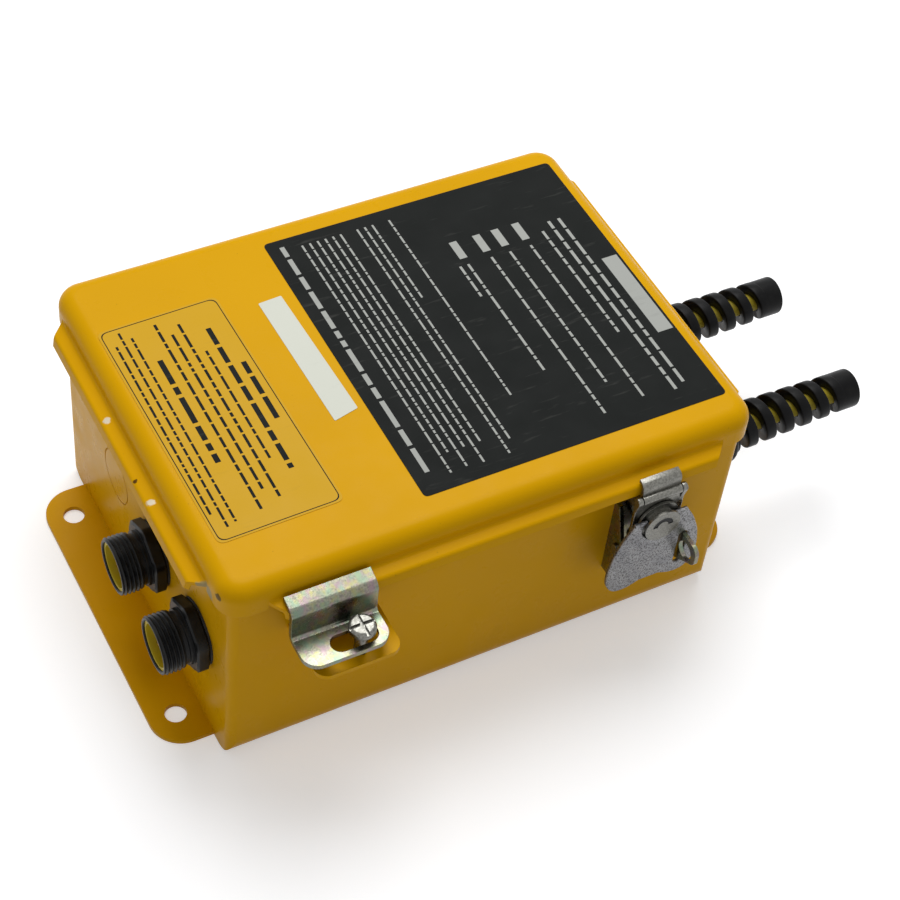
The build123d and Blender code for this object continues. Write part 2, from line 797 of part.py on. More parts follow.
def receptacle_pins(y):
    """Contact pins, from near the mouth to solder ends behind the insert."""
    start = -half_length - receptacle_reach + pin_setback
    end = -half_length - receptacle_reach + insert_setback + insert_depth + insert_floor + pin_tail
    return Compound(children=[rod_x(pin_radius, start, end, pin_y, pin_z) for pin_y, pin_z in pin_places(y)])


def washer_x(outer, inner, start, end, y, z):
    """Ring along X."""
    return rod_x(outer, start, end, y, z) - rod_x(inner, start - 1, end + 1, y, z)


def locknut(radius, start, y, z):
    """Hexagonal lock nut on a tail of the given radius."""
    end = start + locknut_thickness
    return hexagon_x(locknut_flats, start, end, y, z) - rod_x(radius, start - 1, end + 1, y, z)


def grip_fitting(y):
    """Fitting of a cable grip: tail through the wall, hexagon and thread for the dome nut."""
    hexagon_start = half_length + seal_thickness
    hexagon_end = hexagon_start + grip_hexagon
    tail = half_length - grip_fitting_tail
    fitting = rod_x(grip_fitting_radius, tail, hexagon_start, y, grip_z)
    fitting += hexagon_x(grip_flats, hexagon_start, hexagon_end, y, grip_z)
    fitting += rod_x(grip_thread_radius, hexagon_end, hexagon_end + grip_thread, y, grip_z)
    bore = cable_radius + running_clearance
    return fitting - rod_x(bore, tail - 1, hexagon_end + grip_thread + 1, y, grip_z)


def grip_rib():
    """Tapered spiral rib along Z, from zero up, and its length."""
    overlap = grip_rib_width / 2
    height = grip_reach - seal_thickness - grip_hexagon - grip_nut_length - grip_collar_length + 2 * overlap
    mean_base = grip_base_radius - grip_rib_step - grip_rib_depth / 2
    mean_tip = grip_tip_radius - grip_rib_step - grip_rib_depth / 2
    taper = math.degrees(math.atan((mean_tip - mean_base) / height))
    helix = Helix(height / grip_turns, height, mean_base, cone_angle=taper)
    plane = Plane(origin=helix @ 0, z_dir=helix % 0, x_dir=(1, 0, 0))
    return sweep(plane * Rectangle(grip_rib_depth, grip_rib_width), path=helix, is_frenet=True)


def grip_window(y, turn):
    """Oval hole through one side of the end collar, which shows the cable."""
    outline = SlotOverall(grip_window_length, grip_window_width, rotation=90)
    hole = extrude(outline, amount=grip_tip_radius + 1)
    place = Pos(half_length + grip_reach - grip_window_from_tip, y, grip_z)
    return place * Rot(turn, 0, 0) * hole


def grip_spiral(y, turn):
    """Dome nut, tapered spiral and end collar of a cable grip, moulded as one."""
    nut_start = half_length + seal_thickness + grip_hexagon
    nut_end = nut_start + grip_nut_length
    tip = half_length + grip_reach
    bore = cable_radius + running_clearance
    nut = rod_x(grip_nut_radius, nut_start, nut_end, y, grip_z)
    nut = fillet(nut.edges().group_by(Axis.X)[-1], grip_nut_radius - grip_base_radius)
    nut -= rod_x(grip_thread_radius, nut_start - 1, nut_start + grip_thread, y, grip_z)
    nut -= rod_x(bore, nut_start, nut_end + 1, y, grip_z)
    collar = washer_x(grip_tip_radius, bore, tip - grip_collar_length, tip, y, grip_z)
    rib = Pos(nut_end - grip_rib_width / 2, y, grip_z) * Rot(0, 90, 0) * grip_rib()
    return nut + rib + collar - grip_window(y, turn)


def cable_stub(y):
    """Jacketed cable held by the grip, cut inside the end collar."""
    start = half_length - cable_inner_length
    return rod_x(cable_radius, start, half_length + grip_reach - cable_setback, y, grip_z)


def stud_places():
    """Centres of the four studs of the sub-panel."""
    return [(i * stud_spacing_x / 2, j * stud_spacing_y / 2) for i in (-1, 1) for j in (-1, 1)]


def panel_studs():
    """Shouldered studs welded to the bottom."""
    studs = []
    for x, y in stud_places():
        stud = rod_z(stud_radius, body_sheet, panel_bottom, x, y)
        studs.append(stud + rod_z(stud_thread_radius, panel_bottom, panel_bottom + stud_thread_length, x, y))
    return Compound(children=studs)


def sub_panel():
    """Plate that carries the electrical parts."""
    panel = rounded_slab(panel_length, panel_width, stud_radius, panel_bottom, panel_top)
    for x, y in stud_places():
        panel -= rod_z(stud_thread_radius, panel_bottom - 1, panel_top + 1, x, y)
    return panel


def panel_nuts():
    """Nuts that hold the sub-panel on its studs."""
    nuts = []
    for x, y in stud_places():
        nut = hexagon_z(nut_flats, panel_top, panel_top + nut_thickness, x, y)
        nuts.append(nut - rod_z(stud_thread_radius, panel_top - 1, panel_top + nut_thickness + 1, x, y))
    return Compound(children=nuts)


def board_corners():
    """Centres of the circuit board's four screws."""
    half_x = board_length / 2 - standoff_inset
    half_y = board_width / 2 - standoff_inset
    return [(board_x + i * half_x, board_y + j * half_y) for i in (-1, 1) for j in (-1, 1)]


def board_standoffs():
    """Hexagonal standoffs under the circuit board."""
    return Compound(children=[
        hexagon_z(standoff_flats, panel_top, board_bottom, x, y)
        - rod_z(board_screw_radius, board_bottom - board_screw_bite, board_bottom + 1, x, y)
        for x, y in board_corners()
    ])


def circuit_board():
    """Board with a hole at each corner."""
    outline = RectangleRounded(board_length, board_width, board_corner_radius)
    board = Pos(board_x, board_y, board_bottom) * extrude(outline, amount=board_thickness)
    for x, y in board_corners():
        board -= rod_z(board_screw_radius, board_bottom - 1, board_top + 1, x, y)
    return board


def board_screws():
    """Screws that hold the board on its standoffs."""
    return Compound(children=[
        rod_z(board_screw_radius, board_bottom - board_screw_bite, board_top, x, y)
        + rod_z(board_screw_head, board_top, board_top + board_screw_head_height, x, y)
        for x, y in board_corners()
    ])


def relay(number):
    """One of the sealed relays on the board, counted from the left."""
    x = board_x + (number - 2) * relay_pitch
    y = board_y + relay_inset + (relay_length - board_width) / 2
    case = block(
        (x - relay_width / 2, x + relay_width / 2),
        (y - relay_length / 2, y + relay_length / 2),
        (board_top, board_top + relay_height),
    )
    return fillet(case.edges().group_by(Axis.Z)[-1], relay_edge_radius)


def fuse_places():
    """Centres of the two fuses, above the board."""
    x = board_x + board_length / 2 - fuse_inset_x
    y = board_y + board_width / 2 - fuse_inset_y
    return [(x, y - i * fuse_pitch, board_top + fuse_lift) for i in range(2)]


def fuses():
    """Glass fuses lying along X."""
    return Compound(children=[
        rod_x(fuse_radius, x - fuse_length / 2, x + fuse_length / 2, y, z) for x, y, z in fuse_places()
    ])


def fuse_clip(centre, y, z):
    """Spring clip round one end of a fuse, open at the top."""
    half = fuse_radius + clip_wall
    span = (centre - clip_width / 2, centre + clip_width / 2)
    cut = (span[0] - 1, span[1] + 1)
    clip = block(span, (y - half, y + half), (board_top, z + fuse_radius / 2))
    clip -= rod_x(fuse_radius, cut[0], cut[1], y, z)
    return clip - block(cut, (y - fuse_radius / 2, y + fuse_radius / 2), (z, z + 2 * fuse_radius))


def fuse_clips():
    """Spring clips that hold the fuses by their ends."""
    reach = (fuse_length - clip_width) / 2
    return Compound(children=[
        fuse_clip(x + side * reach, y, z) for x, y, z in fuse_places() for side in (-1, 1)
    ])


def transformer_core():
    """Stack of laminations with two windows."""
    core = block(
        (core_x - core_length / 2, core_x + core_length / 2),
        (core_y - core_width / 2, core_y + core_width / 2),
        (panel_top, panel_top + core_height),
    )
    return core - transformer_windows()


def transformer_windows():
    """The two windows of the core."""
    middle = panel_top + core_height / 2
    height = (middle - core_window_height / 2, middle + core_window_height / 2)
    leg = core_length / 2 - 1.5 * core_window_width
    depth = (core_y - core_width, core_y + core_width)
    left = block((core_x - leg - core_window_width, core_x - leg), depth, height)
    return left + block((core_x + leg, core_x + leg + core_window_width), depth, height)


def transformer_coil():
    """Winding round the core's middle leg."""
    bottom = panel_top + (core_height - core_window_height) / 2
    top = bottom + core_window_height
    outline = RectangleRounded(core_length - core_window_width, coil_width, coil_corner_radius)
    coil = Pos(core_x, core_y, bottom) * extrude(outline, amount=core_window_height)
    leg = core_length / 2 - 1.5 * core_window_width
    return coil - block(
        (core_x - leg, core_x + leg),
        (core_y - core_width / 2, core_y + core_width / 2),
        (bottom - 1, top + 1),
    )


def terminal_block():
    """Row of terminals with a step for the wires on both sides."""
    length = terminal_poles * terminal_pitch
    half = terminal_width / 2
    height = (panel_top, panel_top + terminal_height)
    body = block((terminal_x - half, terminal_x + half), (-length / 2, length / 2), height)
    step = terminal_slot
    for side in (-1, 1):
        near = terminal_x + side * (half - step)
        far = terminal_x + side * (half + 1)
        body -= block((min(near, far), max(near, far)), (-length / 2 - 1, length / 2 + 1),
                      (panel_top + terminal_height / 2, panel_top + terminal_height + 1))
    return body


def terminal_screws():
    """Screws along both steps of the terminal block."""
    screws = []
    floor = panel_top + terminal_height / 2
    for number in range(terminal_poles):
        y = (number - (terminal_poles - 1) / 2) * terminal_pitch
        for side in (-1, 1):
            x = terminal_x + side * (terminal_width - terminal_slot) / 2
            screws.append(rod_z(terminal_screw_radius, floor, floor + terminal_screw_radius, x, y))
    return Compound(children=screws)


def ground_stud():
    """Earth stud welded to the bottom."""
    return rod_z(stud_thread_radius, body_sheet, body_sheet + ground_stud_height, ground_stud_x, ground_stud_y)


def ground_nut():
    """Nut on the earth stud."""
    top = body_sheet + nut_thickness
    nut = hexagon_z(nut_flats, body_sheet, top, ground_stud_x, ground_stud_y)
    return nut - rod_z(stud_thread_radius, body_sheet - 1, top + 1, ground_stud_x, ground_stud_y)


def build_nodes():
    """Every piece of the controller by name."""
    nodes = {
        "enclosure_body": enclosure_body(),
        "lid_shell": lid_shell(),
        "lid_gasket": lid_gasket(),
        "hinge_body_leaf": hinge_body_leaf(),
        "hinge_lid_leaf": hinge_lid_leaf(),
        "hinge_pin": hinge_pin(),
        "clamp_ear": clamp_ear(),
        "clamp_plate": clamp_plate(),
        "clamp_screw": clamp_screw(),
        "latch_base": latch_base(),
        "latch_rivets": latch_rivets(),
        "latch_pin": latch_pin(),
        "latch_axle": latch_axle(),
        "latch_drum": latch_drum(),
        "latch_strap": latch_strap(),
        "hook_pin": hook_pin(),
        "latch_hook": latch_hook(),
        "latch_wing": latch_wing(),
        "panel_studs": panel_studs(),
        "sub_panel": sub_panel(),
        "panel_nuts": panel_nuts(),
        "board_standoffs": board_standoffs(),
        "circuit_board": circuit_board(),
        "board_screws": board_screws(),
        "fuses": fuses(),
        "fuse_clips": fuse_clips(),
        "transformer_core": transformer_core(),
        "transformer_coil": transformer_coil(),
        "terminal_block": terminal_block(),
        "terminal_screws": terminal_screws(),
        "ground_stud": ground_stud(),
        "ground_nut": ground_nut(),
    }
    for number in (1, 2):
        nodes[f"relay_{number}"] = relay(number)
    inner_left = -half_length + body_sheet
    inner_right = half_length - body_sheet
    for number, y in enumerate(receptacle_rows, 1):
        z = receptacle_z
        seal = (-half_length - seal_thickness, -half_length)
        nodes[f"receptacle_shell_{number}"] = receptacle_shell(y)
        nodes[f"receptacle_insert_{number}"] = receptacle_insert(y)
        nodes[f"receptacle_pins_{number}"] = receptacle_pins(y)
        nodes[f"receptacle_seal_{number}"] = washer_x(receptacle_flats / 2, receptacle_tail_radius, *seal, y, z)
        nodes[f"receptacle_locknut_{number}"] = locknut(receptacle_tail_radius, inner_left, y, z)
    for number, y in enumerate(grip_rows, 1):
        seal = (half_length, half_length + seal_thickness)
        nodes[f"grip_fitting_{number}"] = grip_fitting(y)
        nodes[f"grip_spiral_{number}"] = grip_spiral(y, grip_window_turns[number - 1])
        nodes[f"grip_seal_{number}"] = washer_x(grip_flats / 2, grip_fitting_radius, *seal, y, grip_z)
        nodes[f"grip_locknut_{number}"] = locknut(grip_fitting_radius, inner_right - locknut_thickness, y, grip_z)
        nodes[f"cable_stub_{number}"] = cable_stub(y)
    return nodes


os.makedirs("parts", exist_ok=True)
for name, shape in build_nodes().items():
    export_step(shape, f"parts/{name}.step")
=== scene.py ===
"""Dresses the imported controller: enamel, plating, mouldings, print fields, threads and cable grips.

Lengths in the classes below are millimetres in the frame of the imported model.
"""
import json
import logging
import math
import random
from dataclasses import dataclass, field
from enum import Enum
from typing import Callable, Iterable

import bpy
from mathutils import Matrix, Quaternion, Vector


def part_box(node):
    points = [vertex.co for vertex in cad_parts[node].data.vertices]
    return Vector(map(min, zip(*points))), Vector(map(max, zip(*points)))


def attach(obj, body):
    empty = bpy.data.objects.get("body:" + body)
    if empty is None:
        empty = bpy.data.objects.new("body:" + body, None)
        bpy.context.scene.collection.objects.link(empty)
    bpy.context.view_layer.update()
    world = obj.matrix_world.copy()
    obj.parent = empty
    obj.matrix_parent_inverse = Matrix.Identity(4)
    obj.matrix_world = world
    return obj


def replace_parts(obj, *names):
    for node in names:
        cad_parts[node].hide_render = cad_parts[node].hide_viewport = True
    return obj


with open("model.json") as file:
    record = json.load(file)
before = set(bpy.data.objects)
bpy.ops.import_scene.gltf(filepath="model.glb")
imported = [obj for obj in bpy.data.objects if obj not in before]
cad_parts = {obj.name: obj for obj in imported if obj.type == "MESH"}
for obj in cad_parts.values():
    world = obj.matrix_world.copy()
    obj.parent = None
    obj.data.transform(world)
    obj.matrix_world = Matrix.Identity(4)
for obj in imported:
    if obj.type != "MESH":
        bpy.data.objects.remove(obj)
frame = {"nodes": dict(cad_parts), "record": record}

MM = 0.001
FULL_TURN = 2 * math.pi
ROOT = "enclosure"

Point = tuple[float, float, float]
Radius = Callable[[float], float]

log = logging.getLogger("scene")


def linear(colour: str) -> tuple[float, float, float, float]:
    """Turns an sRGB hex colour into linear red, green, blue and alpha.

    Args:
        colour: six hex digits after a hash sign.

    Returns:
        The linear colour with an alpha of 1.
    """
    channels = [int(colour[i:i + 2], 16) / 255 for i in (1, 3, 5)]
    values = [c / 12.92 if c <= 0.04045 else ((c + 0.055) / 1.055) ** 2.4 for c in channels]
    return values[0], values[1], values[2], 1.0


def per_metre(size_mm: float) -> float:
    """Pattern scale that gives features of about the given size."""
    return 1000 / size_mm


def add_node(tree: bpy.types.NodeTree, kind: str, settings: dict | None = None,
             inputs: dict | None = None) -> bpy.types.Node:
    """Adds a node with its settings and links.

    Args:
        tree: node tree that gets the node.
        kind: Blender's name of the node type.
        settings: values of the node's own properties.
        inputs: value or linked socket for each named or numbered input.

    Returns:
        The new node.
    """
    node = tree.nodes.new(kind)
    for name, value in (settings or {}).items():
        setattr(node, name, value)
    for name, value in (inputs or {}).items():
        if isinstance(value, bpy.types.NodeSocket):
            tree.links.new(value, node.inputs[name])
        else:
            node.inputs[name].default_value = value
    return node


@dataclass(frozen=True)
class Look:
    """Sockets that a finish works with while its material is built."""

    tree: bpy.types.NodeTree
    place: bpy.types.NodeSocket
    shader: bpy.types.Node

    def noise(self, size: float, detail: float = 3.0,
              stretch: Point = (1.0, 1.0, 1.0)) -> bpy.types.NodeSocket:
        """Cloudy pattern.

        Args:
            size: size of its largest features in millimetres.
            detail: number of finer octaves.
            stretch: factor on each axis; above 1 is finer.

        Returns:
            The pattern's value socket, from 0 to 1.
        """
        place = self.place
        if stretch != (1.0, 1.0, 1.0):
            place = add_node(self.tree, "ShaderNodeVectorMath", {"operation": "MULTIPLY"},
                             {0: self.place, 1: stretch}).outputs[0]
        return add_node(self.tree, "ShaderNodeTexNoise", None,
                        {"Vector": place, "Scale": per_metre(size), "Detail": detail}).outputs["Fac"]

    def ramp(self, value: bpy.types.NodeSocket, low: float, high: float, start: float = 0.0,
             end: float = 1.0) -> bpy.types.NodeSocket:
        """Maps a value's stretch from low to high onto start to end, and clamps it."""
        return add_node(self.tree, "ShaderNodeMapRange", None,
                        {"Value": value, "From Min": low, "From Max": high, "To Min": start,
                         "To Max": end}).outputs["Result"]

    def math(self, operation: str, a: object, b: object = 0.0) -> bpy.types.NodeSocket:
        """Result of a sum, product or other operation on two values."""
        return add_node(self.tree, "ShaderNodeMath", {"operation": operation}, {0: a, 1: b}).outputs[0]

    def blend(self, share: object, a: object, b: object) -> bpy.types.NodeSocket:
        """Colour between a and b by the given share."""
        mixed = add_node(self.tree, "ShaderNodeMix", {"data_type": "RGBA"}, {"Factor": share, 6: a, 7: b})
        return mixed.outputs[2]

    def drive(self, socket: str, value: bpy.types.NodeSocket) -> None:
        """Links a value to one of the shader's sockets."""
        self.tree.links.new(value, self.shader.inputs[socket])

    def relief(self, height: bpy.types.NodeSocket, depth: float, edge: float = 0.0) -> None:
        """Gives the shader a fine relief.

        Args:
            height: pattern from 0 to 1.
            depth: height of the relief in millimetres.
            edge: radius in millimetres that the light sees on sharp edges.
        """
        inputs = {"Height": height, "Distance": depth * MM, "Strength": 1.0}
        if edge:
            inputs["Normal"] = add_node(self.tree, "ShaderNodeBevel", {"samples": 4},
                                        {"Radius": edge * MM}).outputs[0]
        self.drive("Normal", add_node(self.tree, "ShaderNodeBump", None, inputs).outputs[0])


@dataclass(frozen=True)
class Mark:
    """One mark on the paint, wear or painted shade: where it is, how large, and what it bares."""

    centre: Point
    radius: float
    colour: str
    bare_metal: bool = False


@dataclass(frozen=True)
class Finish:
    """What every finish has: a material's name, its slot in the record and its plain values."""

    name: str
    slot: str
    colour: str
    roughness: float
    metallic: float = 0.0
    ior: float = 1.5
    specular: float = 0.5

    def material(self) -> bpy.types.Material:
        """Returns the material, built the first time it is asked for."""
        made = bpy.data.materials.get(self.name)
        return made if made and made.get("finish") else self._build()

    def _build(self) -> bpy.types.Material:
        """Builds the shader with its plain values, then adds the finish's own surface."""
        made = bpy.data.materials.new(self.name)
        made["finish"] = True
        made.use_nodes = True
        tree = made.node_tree
        tree.nodes.clear()
        place = add_node(tree, "ShaderNodeTexCoord").outputs["Object"]
        shader = add_node(tree, "ShaderNodeBsdfPrincipled", None,
                          {"Base Color": linear(self.colour), "Roughness": self.roughness,
                           "Metallic": self.metallic, "IOR": self.ior, "Specular IOR Level": self.specular})
        add_node(tree, "ShaderNodeOutputMaterial", None, {"Surface": shader.outputs[0]})
        self.surface(Look(tree, place, shader))
        return made

    def surface(self, look: Look) -> None:
        """Adds what makes the finish more than one flat colour."""

    def dress(self, piece: bpy.types.Object) -> bpy.types.Object:
        """Puts the finish on every material slot of a piece."""
        made = self.material()
        if not piece.material_slots:
            piece.data.materials.append(made)
        for slot in piece.material_slots:
            slot.material = made
        return piece


@dataclass(frozen=True)
class StovedEnamel(Finish):
    """Gloss enamel, sprayed and stoved: faint orange peel, cloudy tone, dust, chips and one painted dent
    shade.
    """

    marks: tuple[Mark, ...] = ()

    def surface(self, look: Look) -> None:
        """Tone, peel, wear marks and one painted shade."""
        cloud = look.noise(70.0, 2.0)
        peel = look.noise(1.6, 1.0)
        rub = look.noise(9.0, 5.0)
        deep = "#A87A00"
        colour = look.blend(look.ramp(cloud, 0.35, 0.75, 0.0, 0.16), linear(self.colour), linear(deep))
        dust = look.ramp(look.noise(1.0, 0.0), 0.86, 0.9, 0.0, 0.3)
        colour = look.blend(dust, colour, linear("#5C4306"))
        rough = look.ramp(rub, 0.3, 0.75, self.roughness * 0.8, self.roughness * 1.35)
        metal = None
        for mark in self.marks:
            share = self._spot(look, mark)
            colour = look.blend(share, colour, linear(mark.colour))
            if mark.bare_metal:
                metal = share if metal is None else look.math("MAXIMUM", metal, share)
        if metal is not None:
            look.drive("Metallic", metal)
        look.drive("Base Color", colour)
        look.drive("Roughness", rough)
        look.relief(peel, 0.008, 0.25)

    def _spot(self, look: Look, mark: Mark) -> bpy.types.NodeSocket:
        """Share of a ragged spot at a surface point.

        Args:
            look: the material being built.
            mark: place and radius of the spot.

        Returns:
            Socket that is 1 inside the spot and 0 outside.
        """
        centre = [c * MM for c in mark.centre]
        away = add_node(look.tree, "ShaderNodeVectorMath", {"operation": "DISTANCE"},
                        {0: look.place, 1: centre}).outputs["Value"]
        ragged = look.math("MULTIPLY", look.noise(mark.radius * 1.2, 3.0), mark.radius * MM * 1.4)
        reach = look.math("ADD", away, ragged)
        edge = mark.radius * MM
        return look.ramp(reach, edge * 1.45, edge * 1.7, 1.0, 0.0)


@dataclass(frozen=True)
class PlatedSteel(Finish):
    """Zinc plate on pressed steel: cloudy grey, with rainbow tints where it is chromated."""

    tints: tuple[str, ...] = ()
    grain: float = 0.7

    def surface(self, look: Look) -> None:
        """Spangle, tints and fine grain."""
        spangle = look.noise(self.grain, 4.0)
        cloud = look.noise(5.0, 3.0)
        colour = look.blend(look.ramp(spangle, 0.38, 0.68, 0.0, 0.75), linear(self.colour), linear("#55544F"))
        for number, tint in enumerate(self.tints):
            patch = look.noise(2.6 + number * 1.3, 4.0, (1.0 + number * 0.3, 1.0, 1.0))
            colour = look.blend(look.ramp(patch, 0.48, 0.64, 0.0, 0.75), colour, linear(tint))
        look.drive("Base Color", colour)
        look.drive("Roughness", look.ramp(cloud, 0.3, 0.7, self.roughness * 0.75, self.roughness * 1.3))
        look.relief(spangle, 0.01, 0.25)


@dataclass(frozen=True)
class CastMetal(Finish):
    """Zinc casting, tumbled and aged: pitted grey with dark pores and rubbed high spots."""

    def surface(self, look: Look) -> None:
        """Pores, cloudy oxide and a lumpy skin."""
        skin = look.noise(0.7, 4.0)
        cloud = look.noise(6.0, 3.0)
        colour = look.blend(look.ramp(cloud, 0.35, 0.7), linear(self.colour), linear("#77777A"))
        pores = look.ramp(skin, 0.52, 0.36, 0.0, 0.8)
        colour = look.blend(pores, colour, linear("#2C2A26"))
        look.drive("Base Color", colour)
        look.drive("Roughness", look.ramp(skin, 0.3, 0.7, self.roughness * 1.3, self.roughness * 0.7))
        look.relief(skin, 0.09, 0.6)


@dataclass(frozen=True)
class Moulding(Finish):
    """Moulded plastic or rubber: even colour with a slight grain and rubbed patches."""

    grain: float = 0.5
    depth: float = 0.01
    pale: float = 0.1
    edge: float = 0.3

    def surface(self, look: Look) -> None:
        """Grain and rubbed patches."""
        grain = look.noise(self.grain, 3.0)
        rub = look.noise(4.0, 4.0)
        colour = look.blend(look.ramp(rub, 0.45, 0.8, 0.0, self.pale), linear(self.colour), linear("#8E8E88"))
        look.drive("Base Color", colour)
        look.drive("Roughness", look.ramp(rub, 0.3, 0.7, self.roughness * 0.85, self.roughness * 1.15))
        look.relief(grain, self.depth, self.edge)


@dataclass(frozen=True)
class PrintedFilm(Finish):
    """Printed polyester film: flat ink with handling scuffs."""

    scuff: str = "#6A6A66"

    def surface(self, look: Look) -> None:
        """Thin scuffs and a soft change of gloss."""
        scuffs = look.noise(3.0, 6.0, (0.25, 1.6, 1.0))
        colour = look.blend(look.ramp(scuffs, 0.62, 0.8, 0.0, 0.2), linear(self.colour), linear(self.scuff))
        look.drive("Base Color", colour)
        gloss = look.noise(12.0, 3.0)
        look.drive("Roughness", look.ramp(gloss, 0.3, 0.7, self.roughness * 0.9, self.roughness * 1.15))


@dataclass(frozen=True)
class ClearGlass(Finish):
    """Drawn glass tube: clear, with a slight haze that varies along it."""

    def surface(self, look: Look) -> None:
        """Lets most of the light through."""
        look.shader.inputs["Transmission Weight"].default_value = 0.85
        look.drive("Roughness", look.ramp(look.noise(2.0), 0.3, 0.7, 0.02, 0.08))


@dataclass(frozen=True)
class Laminate(Finish):
    """Glass laminate with a solder mask: copper tracks show as a slightly paler net."""

    def surface(self, look: Look) -> None:
        """Tracks as bands of a square wave on two axes."""
        tracks = add_node(look.tree, "ShaderNodeTexBrick", {"offset": 0.37},
                          {"Vector": look.place, "Scale": per_metre(9.0), "Mortar Size": 0.07,
                           "Color1": linear(self.colour), "Color2": linear("#0B4A2A"),
                           "Mortar": linear("#2E7B4C")}).outputs["Color"]
        look.drive("Base Color", tracks)
        sheen = look.noise(3.0)
        look.drive("Roughness", look.ramp(sheen, 0.3, 0.7, self.roughness * 0.8, self.roughness * 1.2))


WEAR_AND_DENT_SHADE = (
    Mark((-107.6, 17.2, 89.9), 1.7, "#B9AE98", True),
    Mark((-107.5, -23.7, 89.9), 2.0, "#B9AE98", True),
    Mark((-108.9, -12.4, 89.9), 0.9, "#5B3B10"),
    Mark((-103.6, -29.1, 93.0), 0.6, "#4A3A18"),
    Mark((-106.3, -65.6, 90.0), 4.2, "#A8966A"),
    # Painted shade: this dark spot at the lid's near-left corner stands for the shade of a dent, which is not
    # built.
    Mark((-103.9, -72.4, 94.0), 1.6, "#6E5310"),
    Mark((-86.0, -85.0, 90.6), 1.0, "#D9CDB0", True),
    Mark((-34.8, -85.0, 90.2), 0.9, "#5B4310"),
)


class Finishes(Enum):
    """The named finishes of the controller."""

    ENAMEL = StovedEnamel("yellow_stoved_enamel", "yellow_paint", "#DBA300", 0.3, specular=0.05, marks=WEAR_AND_DENT_SHADE)
    CHROMATE = PlatedSteel("yellow_chromated_zinc", "yellow_chromate", "#8A8877", 0.28, 1.0,
                           tints=("#8E8A5C", "#85707A", "#6E8472"))
    ZINC = PlatedSteel("bright_zinc_plate", "zinc_plate", "#82817B", 0.3, 1.0)
    CAST = CastMetal("tumbled_zinc_casting", "cast_zinc", "#8B8B8C", 0.42, 1.0)
    FOAM = Moulding("closed_cell_foam", "gasket_foam", "#26262A", 0.9, grain=0.8, depth=0.08)
    RUBBER = Moulding("moulded_seal_rubber", "seal_rubber", "#141416", 0.75)
    BLACK_METAL = Moulding("black_anodised_aluminium", "black_anodised", "#060708", 0.36, specular=0.2,
                           pale=0.05)
    YELLOW_MOULDING = Moulding("yellow_moulded_insert", "yellow_moulding", "#C4AC1C", 0.45, specular=0.25)
    GOLD = PlatedSteel("gold_plated_contact", "gold_pins", "#E4B868", 0.22, 1.0)
    NYLON = Moulding("black_moulded_nylon", "black_nylon", "#030304", 0.4, specular=0.12, pale=0.02,
                     depth=0.015)
    JACKET = Moulding("yellow_cable_jacket", "cable_jacket", "#A8962A", 0.5, specular=0.25, pale=0.12)
    BOARD = Laminate("green_glass_laminate", "board_laminate", "#0F5A33", 0.35)
    RELAY = Moulding("amber_relay_case", "relay_case", "#C9852E", 0.25)
    GLASS = ClearGlass("drawn_glass_tube", "fuse_glass", "#E8EEEC", 0.05)
    TIN = PlatedSteel("bright_tin_plate", "tin_plate", "#C6C6C4", 0.25, 1.0)
    CORE = Moulding("varnished_core_steel", "core_steel", "#34322F", 0.45, 0.4, grain=0.5, depth=0.04)
    COIL = Moulding("wrapped_polyester_film", "coil_wrap", "#C9A64A", 0.3)
    TERMINAL = Moulding("black_terminal_moulding", "terminal_moulding", "#1B1B1D", 0.45)
    BLACK_INK = PrintedFilm("black_printed_film", "gasket_foam", "#1C1E1D", 0.55, specular=0.05)
    YELLOW_INK = PrintedFilm("yellow_printed_film", "yellow_paint", "#CFA010", 0.42, specular=0.12,
                             scuff="#A98A20")
    PALE_INK = PrintedFilm("pale_printed_ink", "tin_plate", "#A9ABA6", 0.5, specular=0.06, scuff="#70706C")
    WHITE_INK = PrintedFilm("white_printed_film", "tin_plate", "#D6D8CC", 0.5, specular=0.12,
                            scuff="#B9B7AE")

    def dress(self, piece: bpy.types.Object) -> bpy.types.Object:
        """Puts the finish on a piece."""
        return self.value.dress(piece)


@dataclass
class Shape:
    """Points and faces of one mesh while it is built."""

    points: list[Point] = field(default_factory=list)
    faces: list[tuple[int, ...]] = field(default_factory=list)

    def grid(self, rows: list[list[Point]], wrap_rows: bool = False, wrap_columns: bool = False) -> None:
        """Adds a surface through rows of points.

        Args:
            rows: rows of equal length.
            wrap_rows: joins the last row to the first.
            wrap_columns: joins the end of each row to its start.
        """
        start = len(self.points)
        width = len(rows[0])
        for row in rows:
            self.points.extend(row)
        for i in range(len(rows) if wrap_rows else len(rows) - 1):
            for j in range(width if wrap_columns else width - 1):
                here, there = i * width, (i + 1) % len(rows) * width
                after = (j + 1) % width
                corners = (here + j, here + after, there + after, there + j)
                self.faces.append(tuple(start + corner for corner in corners))

    def cap(self, ring: list[Point]) -> None:
        """Adds one flat face through a ring of points."""
        start = len(self.points)
        self.points.extend(ring)
        self.faces.append(tuple(range(start, start + len(ring))))

    def plate(self, outline: list[tuple[float, float]], bottom: float, top: float) -> None:
        """Adds a flat plate without its underside, which lies on another piece.

        Args:
            outline: corners seen from above, anticlockwise.
            bottom: height of its underside.
            top: height of its upper face.
        """
        rings = [[(x, y, z) for x, y in outline] for z in (bottom, top)]
        self.grid(rings, wrap_columns=True)
        self.cap(rings[1])

    def piece(self, name: str, body: str, finish: Finishes, smooth: float = 35.0) -> bpy.types.Object:
        """Makes the object, dresses it and lets it ride on its body.

        Args:
            name: name of the piece.
            body: CAD body that it moves with.
            finish: its finish.
            smooth: edges sharper than this angle in degrees stay sharp.

        Returns:
            The new object.
        """
        mesh = bpy.data.meshes.new(name)
        mesh.from_pydata([tuple(c * MM for c in p) for p in self.points], [], self.faces)
        return settle(mesh, name, body, finish, smooth)


